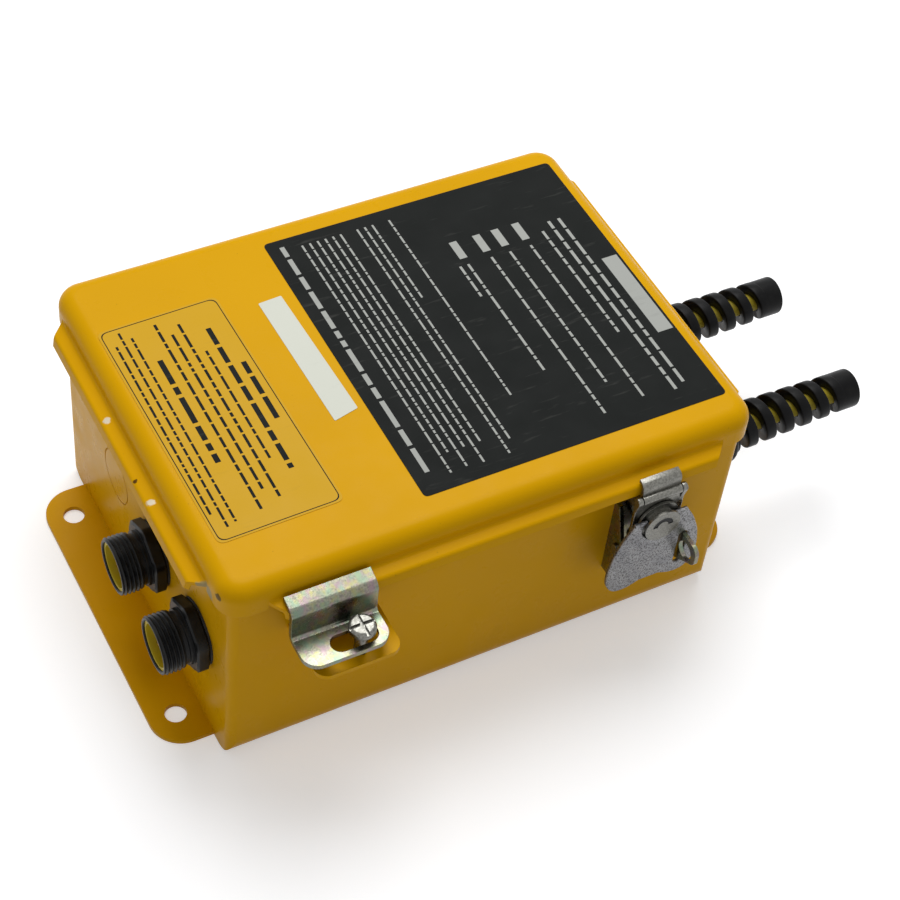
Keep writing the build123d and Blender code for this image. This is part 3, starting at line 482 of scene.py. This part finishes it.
def settle(mesh: bpy.types.Mesh, name: str, body: str, finish: Finishes, smooth: float) -> bpy.types.Object:
    """Makes an object of a mesh, dresses it and lets it ride on its body.

    Args:
        mesh: the finished mesh, in metres.
        name: name of the piece.
        body: CAD body that it moves with.
        finish: its finish.
        smooth: edges sharper than this angle in degrees stay sharp; 0 keeps all flat.

    Returns:
        The new object.
    """
    mesh.validate()
    mesh.update()
    if smooth:
        mesh.shade_smooth()
        mesh.set_sharp_from_angle(angle=math.radians(smooth))
    made = bpy.data.objects.new(name, mesh)
    bpy.context.scene.collection.objects.link(made)
    finish.dress(made)
    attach(made, body)
    log.info("%s: %d faces on %s", name, len(mesh.polygons), body)
    return made


class Facing(Enum):
    """Planes that a sheet can lie in, as the directions of its width, height and thickness."""

    WALL = ((1.0, 0.0, 0.0), (0.0, 0.0, 1.0), (0.0, -1.0, 0.0))
    SIDE = ((0.0, -1.0, 0.0), (0.0, 0.0, 1.0), (-1.0, 0.0, 0.0))


@dataclass
class Sheet:
    """A sheet with holes, drawn as outlines and given rounded edges."""

    outlines: list[list[tuple[float, float]]]
    thickness: float
    edge: float = 0.3

    def mesh(self, facing: Facing, middle: Point) -> bpy.types.Mesh:
        """Fills the outlines and bevels their edges.

        Args:
            facing: plane of the sheet.
            middle: place of the outlines' origin, halfway through the sheet.

        Returns:
            The mesh in metres.
        """
        curve = bpy.data.curves.new("outline", "CURVE")
        curve.dimensions = "2D"
        curve.fill_mode = "BOTH"
        curve.extrude = (self.thickness / 2 - self.edge) * MM
        curve.bevel_depth = self.edge * MM
        curve.bevel_resolution = 2
        curve.offset = -self.edge * MM
        for outline in self.outlines:
            spline = curve.splines.new("POLY")
            spline.points.add(len(outline) - 1)
            for point, (across, up) in zip(spline.points, outline):
                point.co = (across * MM, up * MM, 0.0, 1.0)
            spline.use_cyclic_u = True
        drawn = bpy.data.objects.new("outline", curve)
        mesh = bpy.data.meshes.new_from_object(drawn)
        across, up, out = (Vector(direction) for direction in facing.value)
        for vertex in mesh.vertices:
            place = vertex.co.copy()
            vertex.co = Vector(middle) * MM + across * place.x + up * place.y + out * place.z
        bpy.data.objects.remove(drawn)
        bpy.data.curves.remove(curve)
        return mesh


def arc(centre: tuple[float, float], radius: float, start: float, end: float,
        steps: int = 24) -> list[tuple[float, float]]:
    """Points along an arc between two angles in degrees."""
    turns = [math.radians(angle) for angle in spaced(start, end, steps)]
    return [(centre[0] + radius * math.cos(turn), centre[1] + radius * math.sin(turn)) for turn in turns]


def rounded(corners: list[tuple[float, float]], radius: float, closed: bool = True,
            steps: int = 6) -> list[tuple[float, float]]:
    """Rounds the corners of an outline or path.

    Args:
        corners: its corners.
        radius: distance from each corner at which the bend starts, at most half of a side.
        closed: an outline, not a path with two ends.
        steps: straight pieces in each bend.

    Returns:
        The rounded outline's points.
    """
    points = []
    count = len(corners)
    for number, corner in enumerate(corners):
        if not closed and number in (0, count - 1):
            points.append(corner)
            continue
        here = Vector(corner)
        before, after = Vector(corners[number - 1]) - here, Vector(corners[(number + 1) % count]) - here
        start = here + before.normalized() * min(radius, before.length / 2)
        end = here + after.normalized() * min(radius, after.length / 2)
        for share in spaced(0.0, 1.0, steps):
            point = start.lerp(here, share).lerp(here.lerp(end, share), share)
            points.append((point.x, point.y))
    return points


def strip(path: list[tuple[float, float]], thickness: float) -> list[tuple[float, float]]:
    """Outline of a bent strip along a path.

    Args:
        path: points along the strip's middle.
        thickness: its thickness.

    Returns:
        The closed outline.
    """
    sides = ([], [])
    for number, point in enumerate(path):
        along = Vector(path[min(number + 1, len(path) - 1)]) - Vector(path[max(number - 1, 0)])
        out = Vector((-along.y, along.x)).normalized() * thickness / 2
        sides[0].append((point[0] + out.x, point[1] + out.y))
        sides[1].append((point[0] - out.x, point[1] - out.y))
    return sides[0] + sides[1][::-1]


def spaced(start: float, end: float, steps: int) -> list[float]:
    """Evenly spaced values from start to end, both included."""
    return [start + (end - start) * i / steps for i in range(steps + 1)]


def rounded_rectangle(x: tuple[float, float], y: tuple[float, float], radius: float,
                      steps: int = 6) -> list[tuple[float, float]]:
    """Outline with rounded corners, anticlockwise.

    Args:
        x: left and right side.
        y: near and far side.
        radius: corner radius.
        steps: straight pieces in each corner.

    Returns:
        The outline's points.
    """
    outline = []
    corners = ((x[1], y[0], -1, 1, -90), (x[1], y[1], -1, -1, 0),
               (x[0], y[1], 1, -1, 90), (x[0], y[0], 1, 1, 180))
    for corner_x, corner_y, side_x, side_y, start in corners:
        for angle in spaced(math.radians(start), math.radians(start + 90), steps):
            outline.append((corner_x + side_x * radius + radius * math.cos(angle),
                            corner_y + side_y * radius + radius * math.sin(angle)))
    return outline


@dataclass
class AroundX:
    """Surfaces of revolution about a line along X, with radii that may change round the turn."""

    y: float
    z: float
    steps: int = 72

    def at(self, x: float, radius: float, angle: float) -> Point:
        """Point at a radius and angle about the line."""
        return x, self.y + radius * math.cos(angle), self.z + radius * math.sin(angle)

    def skin(self, shape: Shape, stations: Iterable[tuple[float, Radius]], closed: bool) -> None:
        """Adds a skin through stations along the line.

        Args:
            shape: mesh that gets the skin.
            stations: place along X and radius as a function of the angle.
            closed: joins the last station to the first.
        """
        angles = [FULL_TURN * i / self.steps for i in range(self.steps)]
        rows = [[self.at(x, radius(a), a) for a in angles] for x, radius in stations]
        shape.grid(rows, wrap_rows=closed, wrap_columns=True)


def plain(radius: float) -> Radius:
    """Same radius all the way round."""
    return lambda angle: radius


def thread(x: float, crest: float, depth: float, pitch: float) -> Radius:
    """Radius of a screw thread at one place along its axis.

    Args:
        x: place along the axis.
        crest: radius over the crests.
        depth: depth of the groove.
        pitch: distance between crests.

    Returns:
        Radius as a function of the angle.
    """
    def radius(angle: float) -> float:
        phase = (x / pitch - angle / FULL_TURN) % 1.0
        wave = abs(2 * phase - 1)
        return crest - depth * min(1.0, max(0.0, 1.35 * wave - 0.175))
    return radius


def hexagon(flats: float, limit: float) -> Radius:
    """Radius of a hexagon whose corners are turned down to a limit."""
    def radius(angle: float) -> float:
        sector = FULL_TURN / 6
        return min(flats / 2 / math.cos((angle + sector / 2) % sector - sector / 2), limit)
    return radius


@dataclass
class Receptacle:
    """Threaded sensor receptacle in the left wall."""

    number: int
    thread_pitch: float = 1.5875
    thread_depth: float = 0.75
    thread_crest: float = 11.05
    thread_length: float = 8.3
    bore: float = 9.4
    neck: float = 9.75
    ring: float = 10.5
    ring_length: float = 1.3
    flats: float = 25.4
    corner: float = 14.0
    hexagon_length: float = 5.0
    reach: float = 17.3
    seal: float = 0.8

    def build(self) -> None:
        """Builds the shell with its thread, ring and hexagon."""
        low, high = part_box(f"receptacle_shell_{self.number}")
        mouth, tail = low.x / MM, high.x / MM
        tube = AroundX((low.y + high.y) / 2 / MM, (low.z + high.z) / 2 / MM, 96)
        wall = mouth + self.reach
        nut = (wall - self.seal - self.hexagon_length, wall - self.seal)
        stations = [(mouth + 0.35, plain(self.bore)), (mouth, plain(self.bore + 0.35)),
                    (mouth, plain(self.thread_crest - 0.7))]
        steps = round(self.thread_length / self.thread_pitch * 12)
        for x in spaced(mouth + 0.25, mouth + self.thread_length, steps):
            fade = min(1.0, (mouth + self.thread_length - x) / self.thread_pitch + 0.05, (x - mouth) / 0.9)
            stations.append((x, thread(x, self.thread_crest - 0.45 * (1 - fade), self.thread_depth * fade,
                                       self.thread_pitch)))
        stations += [(mouth + self.thread_length + 0.3, plain(self.neck)),
                     (nut[0] - self.ring_length - 0.2, plain(self.neck)),
                     (nut[0] - self.ring_length, plain(self.ring)), (nut[0], plain(self.ring)),
                     (nut[0], hexagon(self.flats - 1.2, self.corner - 1.3)),
                     (nut[0] + 0.7, hexagon(self.flats, self.corner)),
                     (nut[1] - 0.7, hexagon(self.flats, self.corner)),
                     (nut[1], hexagon(self.flats - 1.2, self.corner - 1.3)),
                     (nut[1], plain(self.bore + 0.9)), (tail, plain(self.bore + 0.9)),
                     (tail, plain(self.bore))]
        shape = Shape()
        tube.skin(shape, stations, True)
        made = shape.piece(f"receptacle_nose_{self.number}", ROOT, Finishes.BLACK_METAL, 32.0)
        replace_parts(made, f"receptacle_shell_{self.number}")


@dataclass
class CableGrip:
    """Spiral cable grip in the right wall: dome nut, spiral rib and end collar."""

    number: int
    turns: float = 6.4
    nut_start: float = 108.4
    nut_length: float = 11.0
    nut_radius: float = 12.0
    base_radius: float = 9.6
    tip_radius: float = 7.8
    rib_width: float = 4.7
    rib_corner: float = 0.7
    collar_length: float = 9.0
    bore: float = 4.0
    cable: float = 3.8
    turn_steps: int = 48

    def build(self) -> None:
        """Builds the nut, the rib and the collar in place of the plain spiral."""
        low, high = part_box(f"grip_spiral_{self.number}")
        tube = AroundX((low.y + high.y) / 2 / MM, (low.z + high.z) / 2 / MM, 72)
        tip = high.x / MM
        for made in (self._nut(tube), self._rib(tube, tip), self._collar(tube, tip)):
            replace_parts(made, f"grip_spiral_{self.number}")
        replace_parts(self._cable(tube), f"cable_stub_{self.number}")

    def _cable(self, tube: AroundX) -> bpy.types.Object:
        """Jacketed cable, from inside the box to just inside the end collar."""
        low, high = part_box(f"cable_stub_{self.number}")
        start, end = low.x / MM, high.x / MM
        stations = [(start, plain(0.01)), (start, plain(self.cable - 0.3)), (start + 0.3, plain(self.cable))]
        stations += [(x, plain(self.cable)) for x in spaced(start + 1.0, end - 1.0, 40)]
        stations += [(end - 0.3, plain(self.cable)), (end, plain(self.cable - 0.3)), (end, plain(0.01))]
        shape = Shape()
        tube.skin(shape, stations, False)
        return shape.piece(f"cable_jacket_{self.number}", ROOT, Finishes.JACKET)

    def _nut(self, tube: AroundX) -> bpy.types.Object:
        """Dome nut with flutes round its skirt."""
        start, end = self.nut_start, self.nut_start + self.nut_length
        inside = 9.05

        def fluted(depth: float) -> Radius:
            return lambda angle: self.nut_radius - depth * max(0.0, math.cos(12 * angle)) ** 4

        stations = [(start, plain(inside)), (start, plain(self.nut_radius - 0.5)), (start + 0.5, fluted(0.0))]
        stations += [(x, fluted(0.5)) for x in spaced(start + 1.2, end - 3.6, 4)]
        for turn in spaced(0.0, math.pi / 2, 8):
            drop = self.nut_radius - self.base_radius
            radius = self.base_radius + drop * math.cos(turn)
            stations.append((end - drop + drop * math.sin(turn), plain(radius)))
        stations += [(end, plain(self.bore)), (start + 6.0, plain(self.bore)), (start + 6.0, plain(inside))]
        shape = Shape()
        tube.skin(shape, stations, True)
        return shape.piece(f"grip_nut_{self.number}", ROOT, Finishes.NYLON)

    def _rib(self, tube: AroundX, tip: float) -> bpy.types.Object:
        """Deep spiral rib on an even bore, whose outside tapers from the nut to the collar."""
        start = self.nut_start + self.nut_length - self.rib_width / 2
        end = tip - self.collar_length + self.rib_width / 2
        half = self.rib_width / 2
        rows = []
        steps = round(self.turns * self.turn_steps)
        for i in range(steps + 1):
            share = i / steps
            angle = FULL_TURN * self.turns * share + math.pi / 2
            outer = self.base_radius + (self.tip_radius - self.base_radius) * share - 0.05
            x = start + (end - start) * share
            section = rounded_rectangle((-half, half), (self.bore + 0.1, outer), self.rib_corner, 4)
            rows.append([tube.at(x + along, radius, angle) for along, radius in section])
        shape = Shape()
        shape.grid(rows, wrap_columns=True)
        shape.cap(rows[0])
        shape.cap(rows[-1])
        return shape.piece(f"grip_rib_{self.number}", ROOT, Finishes.NYLON, 50.0)

    def _collar(self, tube: AroundX, tip: float) -> bpy.types.Object:
        """End collar with rounded rims."""
        start, end = tip - self.collar_length, tip
        rim = 0.8
        stations = [(start, plain(self.bore)), (start, plain(self.tip_radius - 0.3)),
                    (start + 0.3, plain(self.tip_radius)), (end - rim, plain(self.tip_radius))]
        for turn in spaced(0.0, math.pi / 2, 5)[1:]:
            radius = self.tip_radius - rim + rim * math.cos(turn)
            stations.append((end - rim + rim * math.sin(turn), plain(radius)))
        stations += [(end, plain(self.bore + 0.6)), (end - 0.6, plain(self.bore))]
        shape = Shape()
        tube.skin(shape, stations, True)
        return shape.piece(f"grip_collar_{self.number}", ROOT, Finishes.NYLON)


@dataclass
class PrintPlate:
    """Printed plate on the lid's top, with fields of colour and rows of plain bars."""

    name: str
    corners: tuple[tuple[float, float], ...]
    finish: Finishes
    ink: Finishes
    radius: float = 1.6
    height: float = 0.18
    ink_height: float = 0.02
    top: float = field(default=0.0, init=False)
    bars: Shape = field(default_factory=Shape, init=False)

    def build(self, lid_top: float) -> None:
        """Builds the plate and keeps its top for the bars."""
        self.top = lid_top + self.height
        shape = Shape()
        shape.plate(rounded(self.corners, self.radius), lid_top - 0.02, self.top)
        shape.piece(self.name, "lid", self.finish, 0.0)

    def bar(self, x: tuple[float, float], y: tuple[float, float]) -> None:
        """Adds one plain bar."""
        outline = [(x[0], y[0]), (x[1], y[0]), (x[1], y[1]), (x[0], y[1])]
        self.bars.plate(outline, self.top - 0.01, self.top + self.ink_height)

    def row(self, x: float, y: tuple[float, float], height: float, seed: int) -> None:
        """Adds a row of bars as long as words, read towards -Y.

        Args:
            x: middle of the row.
            y: start and end of the row.
            height: height of its bars.
            seed: picks the lengths.
        """
        chance = random.Random(seed)
        place = y[0]
        while place > y[1] + height:
            length = min(height * chance.uniform(1.6, 7.0), place - y[1])
            self.bar((x - height / 2, x + height / 2), (place - length, place))
            place -= length + height * 0.8

    def finish_bars(self) -> None:
        """Turns the collected bars into one piece."""
        self.bars.piece(f"{self.name}_bars", "lid", self.ink, 0.0)


@dataclass
class LidPrint:
    """The three printed plates on the lid."""

    black_sides: tuple[float, float, float, float] = (-24.9, 98.0, -66.0, 67.9)

    def build(self) -> None:
        """Builds the plates and their bars."""
        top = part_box("lid_shell")[1].z / MM
        self._black(top)
        self._yellow(top)
        self._white(top)

    def _black(self, top: float) -> None:
        """Large black plate with pale rows and fields."""
        left, right, near, far = self.black_sides
        plate = PrintPlate("black_plate", ((left, near), (right, near), (right, far), (left, far)),
                           Finishes.BLACK_INK, Finishes.PALE_INK, 2.0)
        plate.build(top)
        plate.row(-19.0, (64.0, -59.0), 1.9, 3)
        for number, x in enumerate((-11.5, -8.3, -5.1, -1.9, 1.3, 4.5)):
            plate.row(x, (62.0, -60.0 + 9.0 * (number % 2)), 0.8, 10 + number)
        for number, x in enumerate((11.5, 14.7, 17.9)):
            plate.row(x, (62.0, (-60.0, -54.0, 20.0)[number]), 0.8, 20 + number)
        plate.row(25.0, (62.0, -36.0), 0.8, 30)
        for number, x in enumerate((42.0, 52.0, 60.0, 69.0)):
            plate.bar((x - 1.6, x + 1.6), (32.5, 42.0))
            plate.row(x, (29.0, (-30.0, -57.0, -44.0, -57.0)[number]), 1.0, 40 + number)
        plate.row(38.6, (29.0, 12.0), 1.0, 48)
        plate.row(77.0, (34.0, -24.0), 1.1, 50)
        for number, x in enumerate((81.8, 86.2)):
            plate.row(x, (38.0, -57.0), 1.3, 60 + number)
        plate.bar((90.5, 97.0), (-30.0, 12.0))
        plate.finish_bars()

    def _yellow(self, top: float) -> None:
        """Smaller yellow plate with dark rows and a thin dark line round it."""
        corners = ((-97.2, -56.9), (-50.4, -56.1), (-52.0, 50.0), (-98.8, 49.0))
        plate = PrintPlate("yellow_plate", corners, Finishes.YELLOW_INK, Finishes.BLACK_INK, 3.0)
        plate.build(top)
        for number, (x, height, start, end) in enumerate((
                (-56.0, 2.0, 16.0, -16.0), (-61.0, 2.0, 36.0, -36.0), (-66.0, 1.0, 26.0, -30.0),
                (-70.0, 1.1, 42.0, -47.0), (-74.0, 1.1, 38.0, -42.0), (-78.0, 1.1, 45.0, -50.0),
                (-83.0, 2.1, 28.0, -26.0), (-88.0, 0.9, 42.0, -50.0), (-91.4, 0.9, 46.0, -52.0),
                (-94.6, 0.9, 40.0, -44.0))):
            plate.row(x, (start, end), height, 80 + number)
        self._outline(plate, corners)
        plate.finish_bars()

    def _outline(self, plate: PrintPlate, corners: tuple[tuple[float, float], ...]) -> None:
        """Thin dark line just inside a plate's edge."""
        middle = Vector((sum(x for x, _ in corners) / 4, sum(y for _, y in corners) / 4))
        rings = []
        for inset in (0.8, 1.15):
            pulled = [(x + math.copysign(inset, middle.x - x), y + math.copysign(inset, middle.y - y))
                      for x, y in corners]
            rings.append([(x, y, plate.top + plate.ink_height) for x, y in rounded(pulled, 3.0)])
        plate.bars.grid(rings, wrap_columns=True)

    def _white(self, top: float) -> None:
        """Small blank white plate."""
        corners = ((-38.1, -22.4), (-28.0, -20.0), (-29.8, 41.0), (-39.2, 40.4))
        PrintPlate("white_plate", corners, Finishes.WHITE_INK, Finishes.BLACK_INK, 0.6).build(top)


@dataclass
class ClampScrew:
    """Thread that shows under the head of the clamp's packed screw."""

    crest: float = 2.4
    depth: float = 0.35
    pitch: float = 0.8
    head_height: float = 2.8
    steps: int = 48

    def build(self) -> None:
        """Builds the threaded shank round the plain one."""
        low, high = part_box("clamp_screw")
        centre = ((low.x + high.x) / 2 / MM, (low.y + high.y) / 2 / MM)
        bottom, top = low.z / MM, high.z / MM - self.head_height
        rows = []
        steps = round((top - bottom) / self.pitch * 8)
        for z in spaced(bottom, top, steps):
            radius = thread(z, self.crest, self.depth, self.pitch)
            row = []
            for i in range(self.steps):
                angle = FULL_TURN * i / self.steps
                reach = radius(angle)
                row.append((centre[0] + reach * math.cos(angle), centre[1] + reach * math.sin(angle), z))
            rows.append(row)
        shape = Shape()
        shape.grid(rows, wrap_columns=True)
        shape.piece("clamp_screw_thread", "clamp_screw", Finishes.ZINC)


@dataclass
class DrawLatch:
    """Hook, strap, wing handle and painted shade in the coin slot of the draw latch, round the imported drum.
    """

    wing_reach: float = 14.1
    wing_sheet: float = 1.6
    wing_corner: float = 3.0
    cutout: float = 7.9
    mouth: float = 7.3
    slot_half: float = 1.9
    slot_side: float = 11.7
    slot_top: float = 10.2
    slot_bottom: float = 28.3
    stub: float = 0.9
    pivot_lift: float = 2.6
    strap_reach: float = 10.95
    strap_sheet: float = 1.5
    strap_half: float = 10.25
    strap_slot: tuple[float, float] = (7.65, 5.65)
    throw: float = 2.0
    ear_radius: float = 1.7
    ear_width: float = 2.0
    hook_half: float = 8.0
    hook_sheet: float = 1.5
    hook_tip: float = 7.3
    coin_slot: tuple[float, float] = (2.25, 4.15)
    x: float = field(default=0.0, init=False)
    z: float = field(default=0.0, init=False)
    face: float = field(default=0.0, init=False)
    wall: float = field(default=0.0, init=False)
    pin: tuple[float, float] = field(default=(0.0, 0.0), init=False)

    def build(self) -> None:
        """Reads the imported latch's places and builds its moving parts."""
        low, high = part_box("latch_drum")
        self.x = (low.x + high.x) / 2 / MM
        self.z = (low.z + high.z) / 2 / MM
        self.face = low.y / MM
        self.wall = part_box("latch_base")[1].y / MM
        pin_low, pin_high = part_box("hook_pin")
        self.pin = (self.wall - (pin_low.y + pin_high.y) / 2 / MM, (pin_low.z + pin_high.z) / 2 / MM)
        self._wing()
        self._strap()
        self._hook()
        self._coin_slot_shade()

    def _wing(self) -> None:
        """Cast handle with two lobes, an open cutout for the drum and a slot for the eye."""
        half = [(self.mouth + 3.6, 3.3), (14.6, -3.0), (17.7, -11.0), (19.2, -20.0), (19.0, -27.0),
                (15.6, -32.8), (9.6, -33.4), (4.2, -31.0)]
        angle = math.degrees(math.acos(self.mouth / self.cutout))
        cutout = arc((0.0, 0.0), self.cutout, 180 + angle * 0.6, 360 - angle * 0.6, 28)
        right = rounded(half, self.wing_corner, False)
        left = [(-across, up) for across, up in reversed(right)]
        outline = [(self.mouth, 3.3)] + right + left + [(-self.mouth, 3.3)] + cutout
        side, radius = self.slot_side, self.slot_half
        slot = arc((side, -self.slot_top - radius), radius, 0, 180, 10)
        slot += arc((side, -self.slot_bottom + radius), radius, 180, 360, 10)
        sheet = Sheet([outline, slot], self.wing_sheet, 0.35)
        middle = (self.x, self.wall - self.wing_reach, self.z)
        made = settle(sheet.mesh(Facing.WALL, middle), "wing_handle", "wing", Finishes.CAST, 40.0)
        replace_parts(made, "latch_wing")
        shape = Shape()
        for direction in (-1, 1):
            ends = sorted((self.x + direction * 6.0, self.x + direction * (self.cutout + 1.0)))
            around = AroundX(middle[1], self.z + self.pivot_lift, 20)
            stations = [(ends[0], plain(0.01)), (ends[0], plain(self.stub)), (ends[1], plain(self.stub))]
            around.skin(shape, stations, False)
        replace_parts(shape.piece("wing_stubs", "wing", Finishes.CAST), "latch_wing")

    def _strap(self) -> None:
        """Flat strap with a cross slot and two rounded ears for the hook's pin."""
        bottom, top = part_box("latch_strap")[0].z / MM, self.pin[1] - 2.3
        outline = rounded([(-self.strap_half, bottom), (self.strap_half, bottom), (self.strap_half, top),
                           (-self.strap_half, top)], 3.2)
        reach, radius = self.strap_slot
        height = self.z - self.throw
        slot = arc((reach - radius, height), radius, -90, 90, 12)
        slot += arc((radius - reach, height), radius, 90, 270, 12)
        middle = (self.x, self.wall - self.strap_reach, 0.0)
        plate = Sheet([outline, slot], self.strap_sheet).mesh(Facing.WALL, middle)
        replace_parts(settle(plate, "strap_plate", "strap", Finishes.ZINC, 40.0), "latch_strap")
        foot = top - 3.0
        half_sheet = self.strap_sheet / 2
        ear = [(self.strap_reach - half_sheet, foot), (self.strap_reach + half_sheet, foot)]
        ear += arc(self.pin, self.ear_radius, -20, 200)
        for direction in (-1, 1):
            place = (self.x + direction * (self.strap_half - self.ear_width / 2), self.wall, 0.0)
            mesh = Sheet([ear], self.ear_width, 0.25).mesh(Facing.SIDE, place)
            name = "strap_ear_left" if direction < 0 else "strap_ear_right"
            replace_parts(settle(mesh, name, "strap", Finishes.ZINC, 40.0), "latch_strap")

    def _hook(self) -> None:
        """Hook rolled round its pin, with a short leg over the ridge of the lip."""
        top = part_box("latch_hook")[1].z / MM - self.hook_sheet / 2 - 0.2
        reach, height = self.pin
        front = reach - 1.05
        path = rounded([(front, height), (front, top - 0.5), (self.hook_tip, top)], 2.4, False, 8)
        place = (self.x, self.wall, 0.0)
        leg = Sheet([strip(path, self.hook_sheet)], 2 * self.hook_half, 0.3).mesh(Facing.SIDE, place)
        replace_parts(settle(leg, "hook_leg", "hook", Finishes.ZINC, 40.0), "latch_hook")
        ring = [arc(self.pin, 1.8, 0, 350, 34), arc(self.pin, 0.95, 0, 345, 22)]
        roll = Sheet(ring, 2 * self.hook_half, 0.2).mesh(Facing.SIDE, place)
        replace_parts(settle(roll, "hook_roll", "hook", Finishes.ZINC, 40.0), "latch_hook")

    def _coin_slot_shade(self) -> None:
        """Dark sheet in the drum's curved coin slot: painted shade that stands for the slot's shadow."""
        inner, outer = self.coin_slot
        outline = arc((0.0, 0.0), outer, 4, 176, 24) + arc((0.0, 0.0), inner, 172, 8, 18)
        middle = (self.x, self.face + 0.35, self.z)
        # Painted shade: the dark seal rubber finish is used here only for its colour, to darken the slot.
        settle(Sheet([outline], 0.3, 0.05).mesh(Facing.WALL, middle), "coin_slot_painted_shade", "drum",
               Finishes.RUBBER, 40.0)


@dataclass
class PackedPieces:
    """The CAD nodes that stay in view, each dressed by its slot in the record."""

    def build(self) -> None:
        """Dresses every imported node."""
        by_slot = {finish.value.slot: finish for finish in reversed(list(Finishes))}
        slots = {part["node"]: part["material_slot"] for part in frame["record"]["subparts"]}
        for name, node in frame["nodes"].items():
            finish = by_slot[slots[name]]
            finish.dress(node)
            log.info("%s: %s", name, finish.value.name)


@dataclass
class Studio:
    """Floor, one soft lamp, pale surroundings and the camera."""

    camera_place: Point = (-280.99, -471.56, 672.28)
    camera_aim: Point = (17.017, -13.311, 50.0)
    camera_roll: float = 7.328
    lens: float = 87.48
    sensor: float = 36.0
    floor_half: float = 6000.0
    sky: float = 0.36
    floor_glow: float = 0.4

    def build(self) -> None:
        """Builds the whole stage."""
        self._floor()
        self._world()
        self._lamp("overhead_softbox", (190.0, 450.0, 1250.0), (0.0, 0.0, 50.0), 900.0, 13.2)
        self._camera()
        bpy.context.scene.view_settings.view_transform = "Standard"

    def _floor(self) -> None:
        """Pale matt floor that keeps the shadow, and a little whiter to the eye and to gloss."""
        half = self.floor_half * MM
        mesh = bpy.data.meshes.new("floor")
        corners = [(-half, -half, 0), (half, -half, 0), (half, half, 0), (-half, half, 0)]
        mesh.from_pydata(corners, [], [(0, 1, 2, 3)])
        floor = bpy.data.objects.new("floor", mesh)
        bpy.context.scene.collection.objects.link(floor)
        material = bpy.data.materials.new("pale_floor")
        material.use_nodes = True
        tree = material.node_tree
        tree.nodes.clear()
        matt = add_node(tree, "ShaderNodeBsdfDiffuse", None, {"Color": linear("#E9EAEC")})
        glow = add_node(tree, "ShaderNodeMath", {"operation": "MULTIPLY"},
                        {0: self._seen(tree), 1: self.floor_glow})
        white = add_node(tree, "ShaderNodeEmission", None, {"Strength": glow.outputs[0]})
        both = add_node(tree, "ShaderNodeAddShader", None, {0: matt.outputs[0], 1: white.outputs[0]})
        add_node(tree, "ShaderNodeOutputMaterial", None, {"Surface": both.outputs[0]})
        mesh.materials.append(material)

    def _world(self) -> None:
        """Even surroundings: white to the eye, to gloss and through glass, and dimmer as a light."""
        world = bpy.data.worlds.new("surroundings")
        bpy.context.scene.world = world
        world.use_nodes = True
        tree = world.node_tree
        tree.nodes.clear()
        strength = add_node(tree, "ShaderNodeMapRange", None,
                            {"Value": self._seen(tree), "To Min": self.sky, "To Max": 1.0})
        light = add_node(tree, "ShaderNodeBackground", None,
                         {"Color": (1.0, 1.0, 1.0, 1.0), "Strength": strength.outputs["Result"]})
        add_node(tree, "ShaderNodeOutputWorld", None, {"Surface": light.outputs[0]})

    def _seen(self, tree: bpy.types.NodeTree) -> bpy.types.NodeSocket:
        """Socket that is 1 for what the camera sees directly, in gloss or through glass."""
        path = add_node(tree, "ShaderNodeLightPath")
        direct = add_node(tree, "ShaderNodeMath", {"operation": "MAXIMUM"},
                          {0: path.outputs["Is Camera Ray"], 1: path.outputs["Is Transmission Ray"]})
        return add_node(tree, "ShaderNodeMath", {"operation": "MAXIMUM"},
                        {0: direct.outputs[0], 1: path.outputs["Is Glossy Ray"]}).outputs[0]

    def _lamp(self, name: str, place: Point, aim: Point, size: float, power: float) -> None:
        """Adds a square softbox.

        Args:
            name: name of the lamp.
            place: where it stands.
            aim: point that it faces.
            size: length of its side.
            power: power in watts.
        """
        data = bpy.data.lights.new(name, "AREA")
        data.shape = "SQUARE"
        data.size = size * MM
        data.energy = power
        lamp = bpy.data.objects.new(name, data)
        lamp.location = Vector(place) * MM
        lamp.rotation_mode = "QUATERNION"
        lamp.rotation_quaternion = (Vector(aim) - Vector(place)).to_track_quat("-Z", "Y")
        bpy.context.scene.collection.objects.link(lamp)

    def _camera(self) -> None:
        """Sets the camera where the photograph was taken from."""
        data = bpy.data.cameras.new("camera")
        data.lens = self.lens
        data.sensor_width = self.sensor
        data.clip_start = 0.01
        camera = bpy.data.objects.new("camera", data)
        camera.location = Vector(self.camera_place) * MM
        look = (Vector(self.camera_aim) - Vector(self.camera_place)).to_track_quat("-Z", "Y")
        camera.rotation_mode = "QUATERNION"
        camera.rotation_quaternion = look @ Quaternion((0, 0, 1), math.radians(self.camera_roll))
        bpy.context.scene.collection.objects.link(camera)
        bpy.context.scene.camera = camera


def main() -> None:
    """Builds every sub-assembly in order."""
    logging.basicConfig(level=logging.INFO, format="%(message)s")
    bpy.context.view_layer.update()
    sub_assemblies = [PackedPieces(), LidPrint(), ClampScrew(), DrawLatch()]
    sub_assemblies += [Receptacle(number) for number in (1, 2)]
    sub_assemblies += [CableGrip(number) for number in (1, 2)]
    sub_assemblies.append(Studio())
    for assembly in sub_assemblies:
        log.info("building %s", type(assembly).__name__)
        assembly.build()


if __name__ == "__main__":
    main()
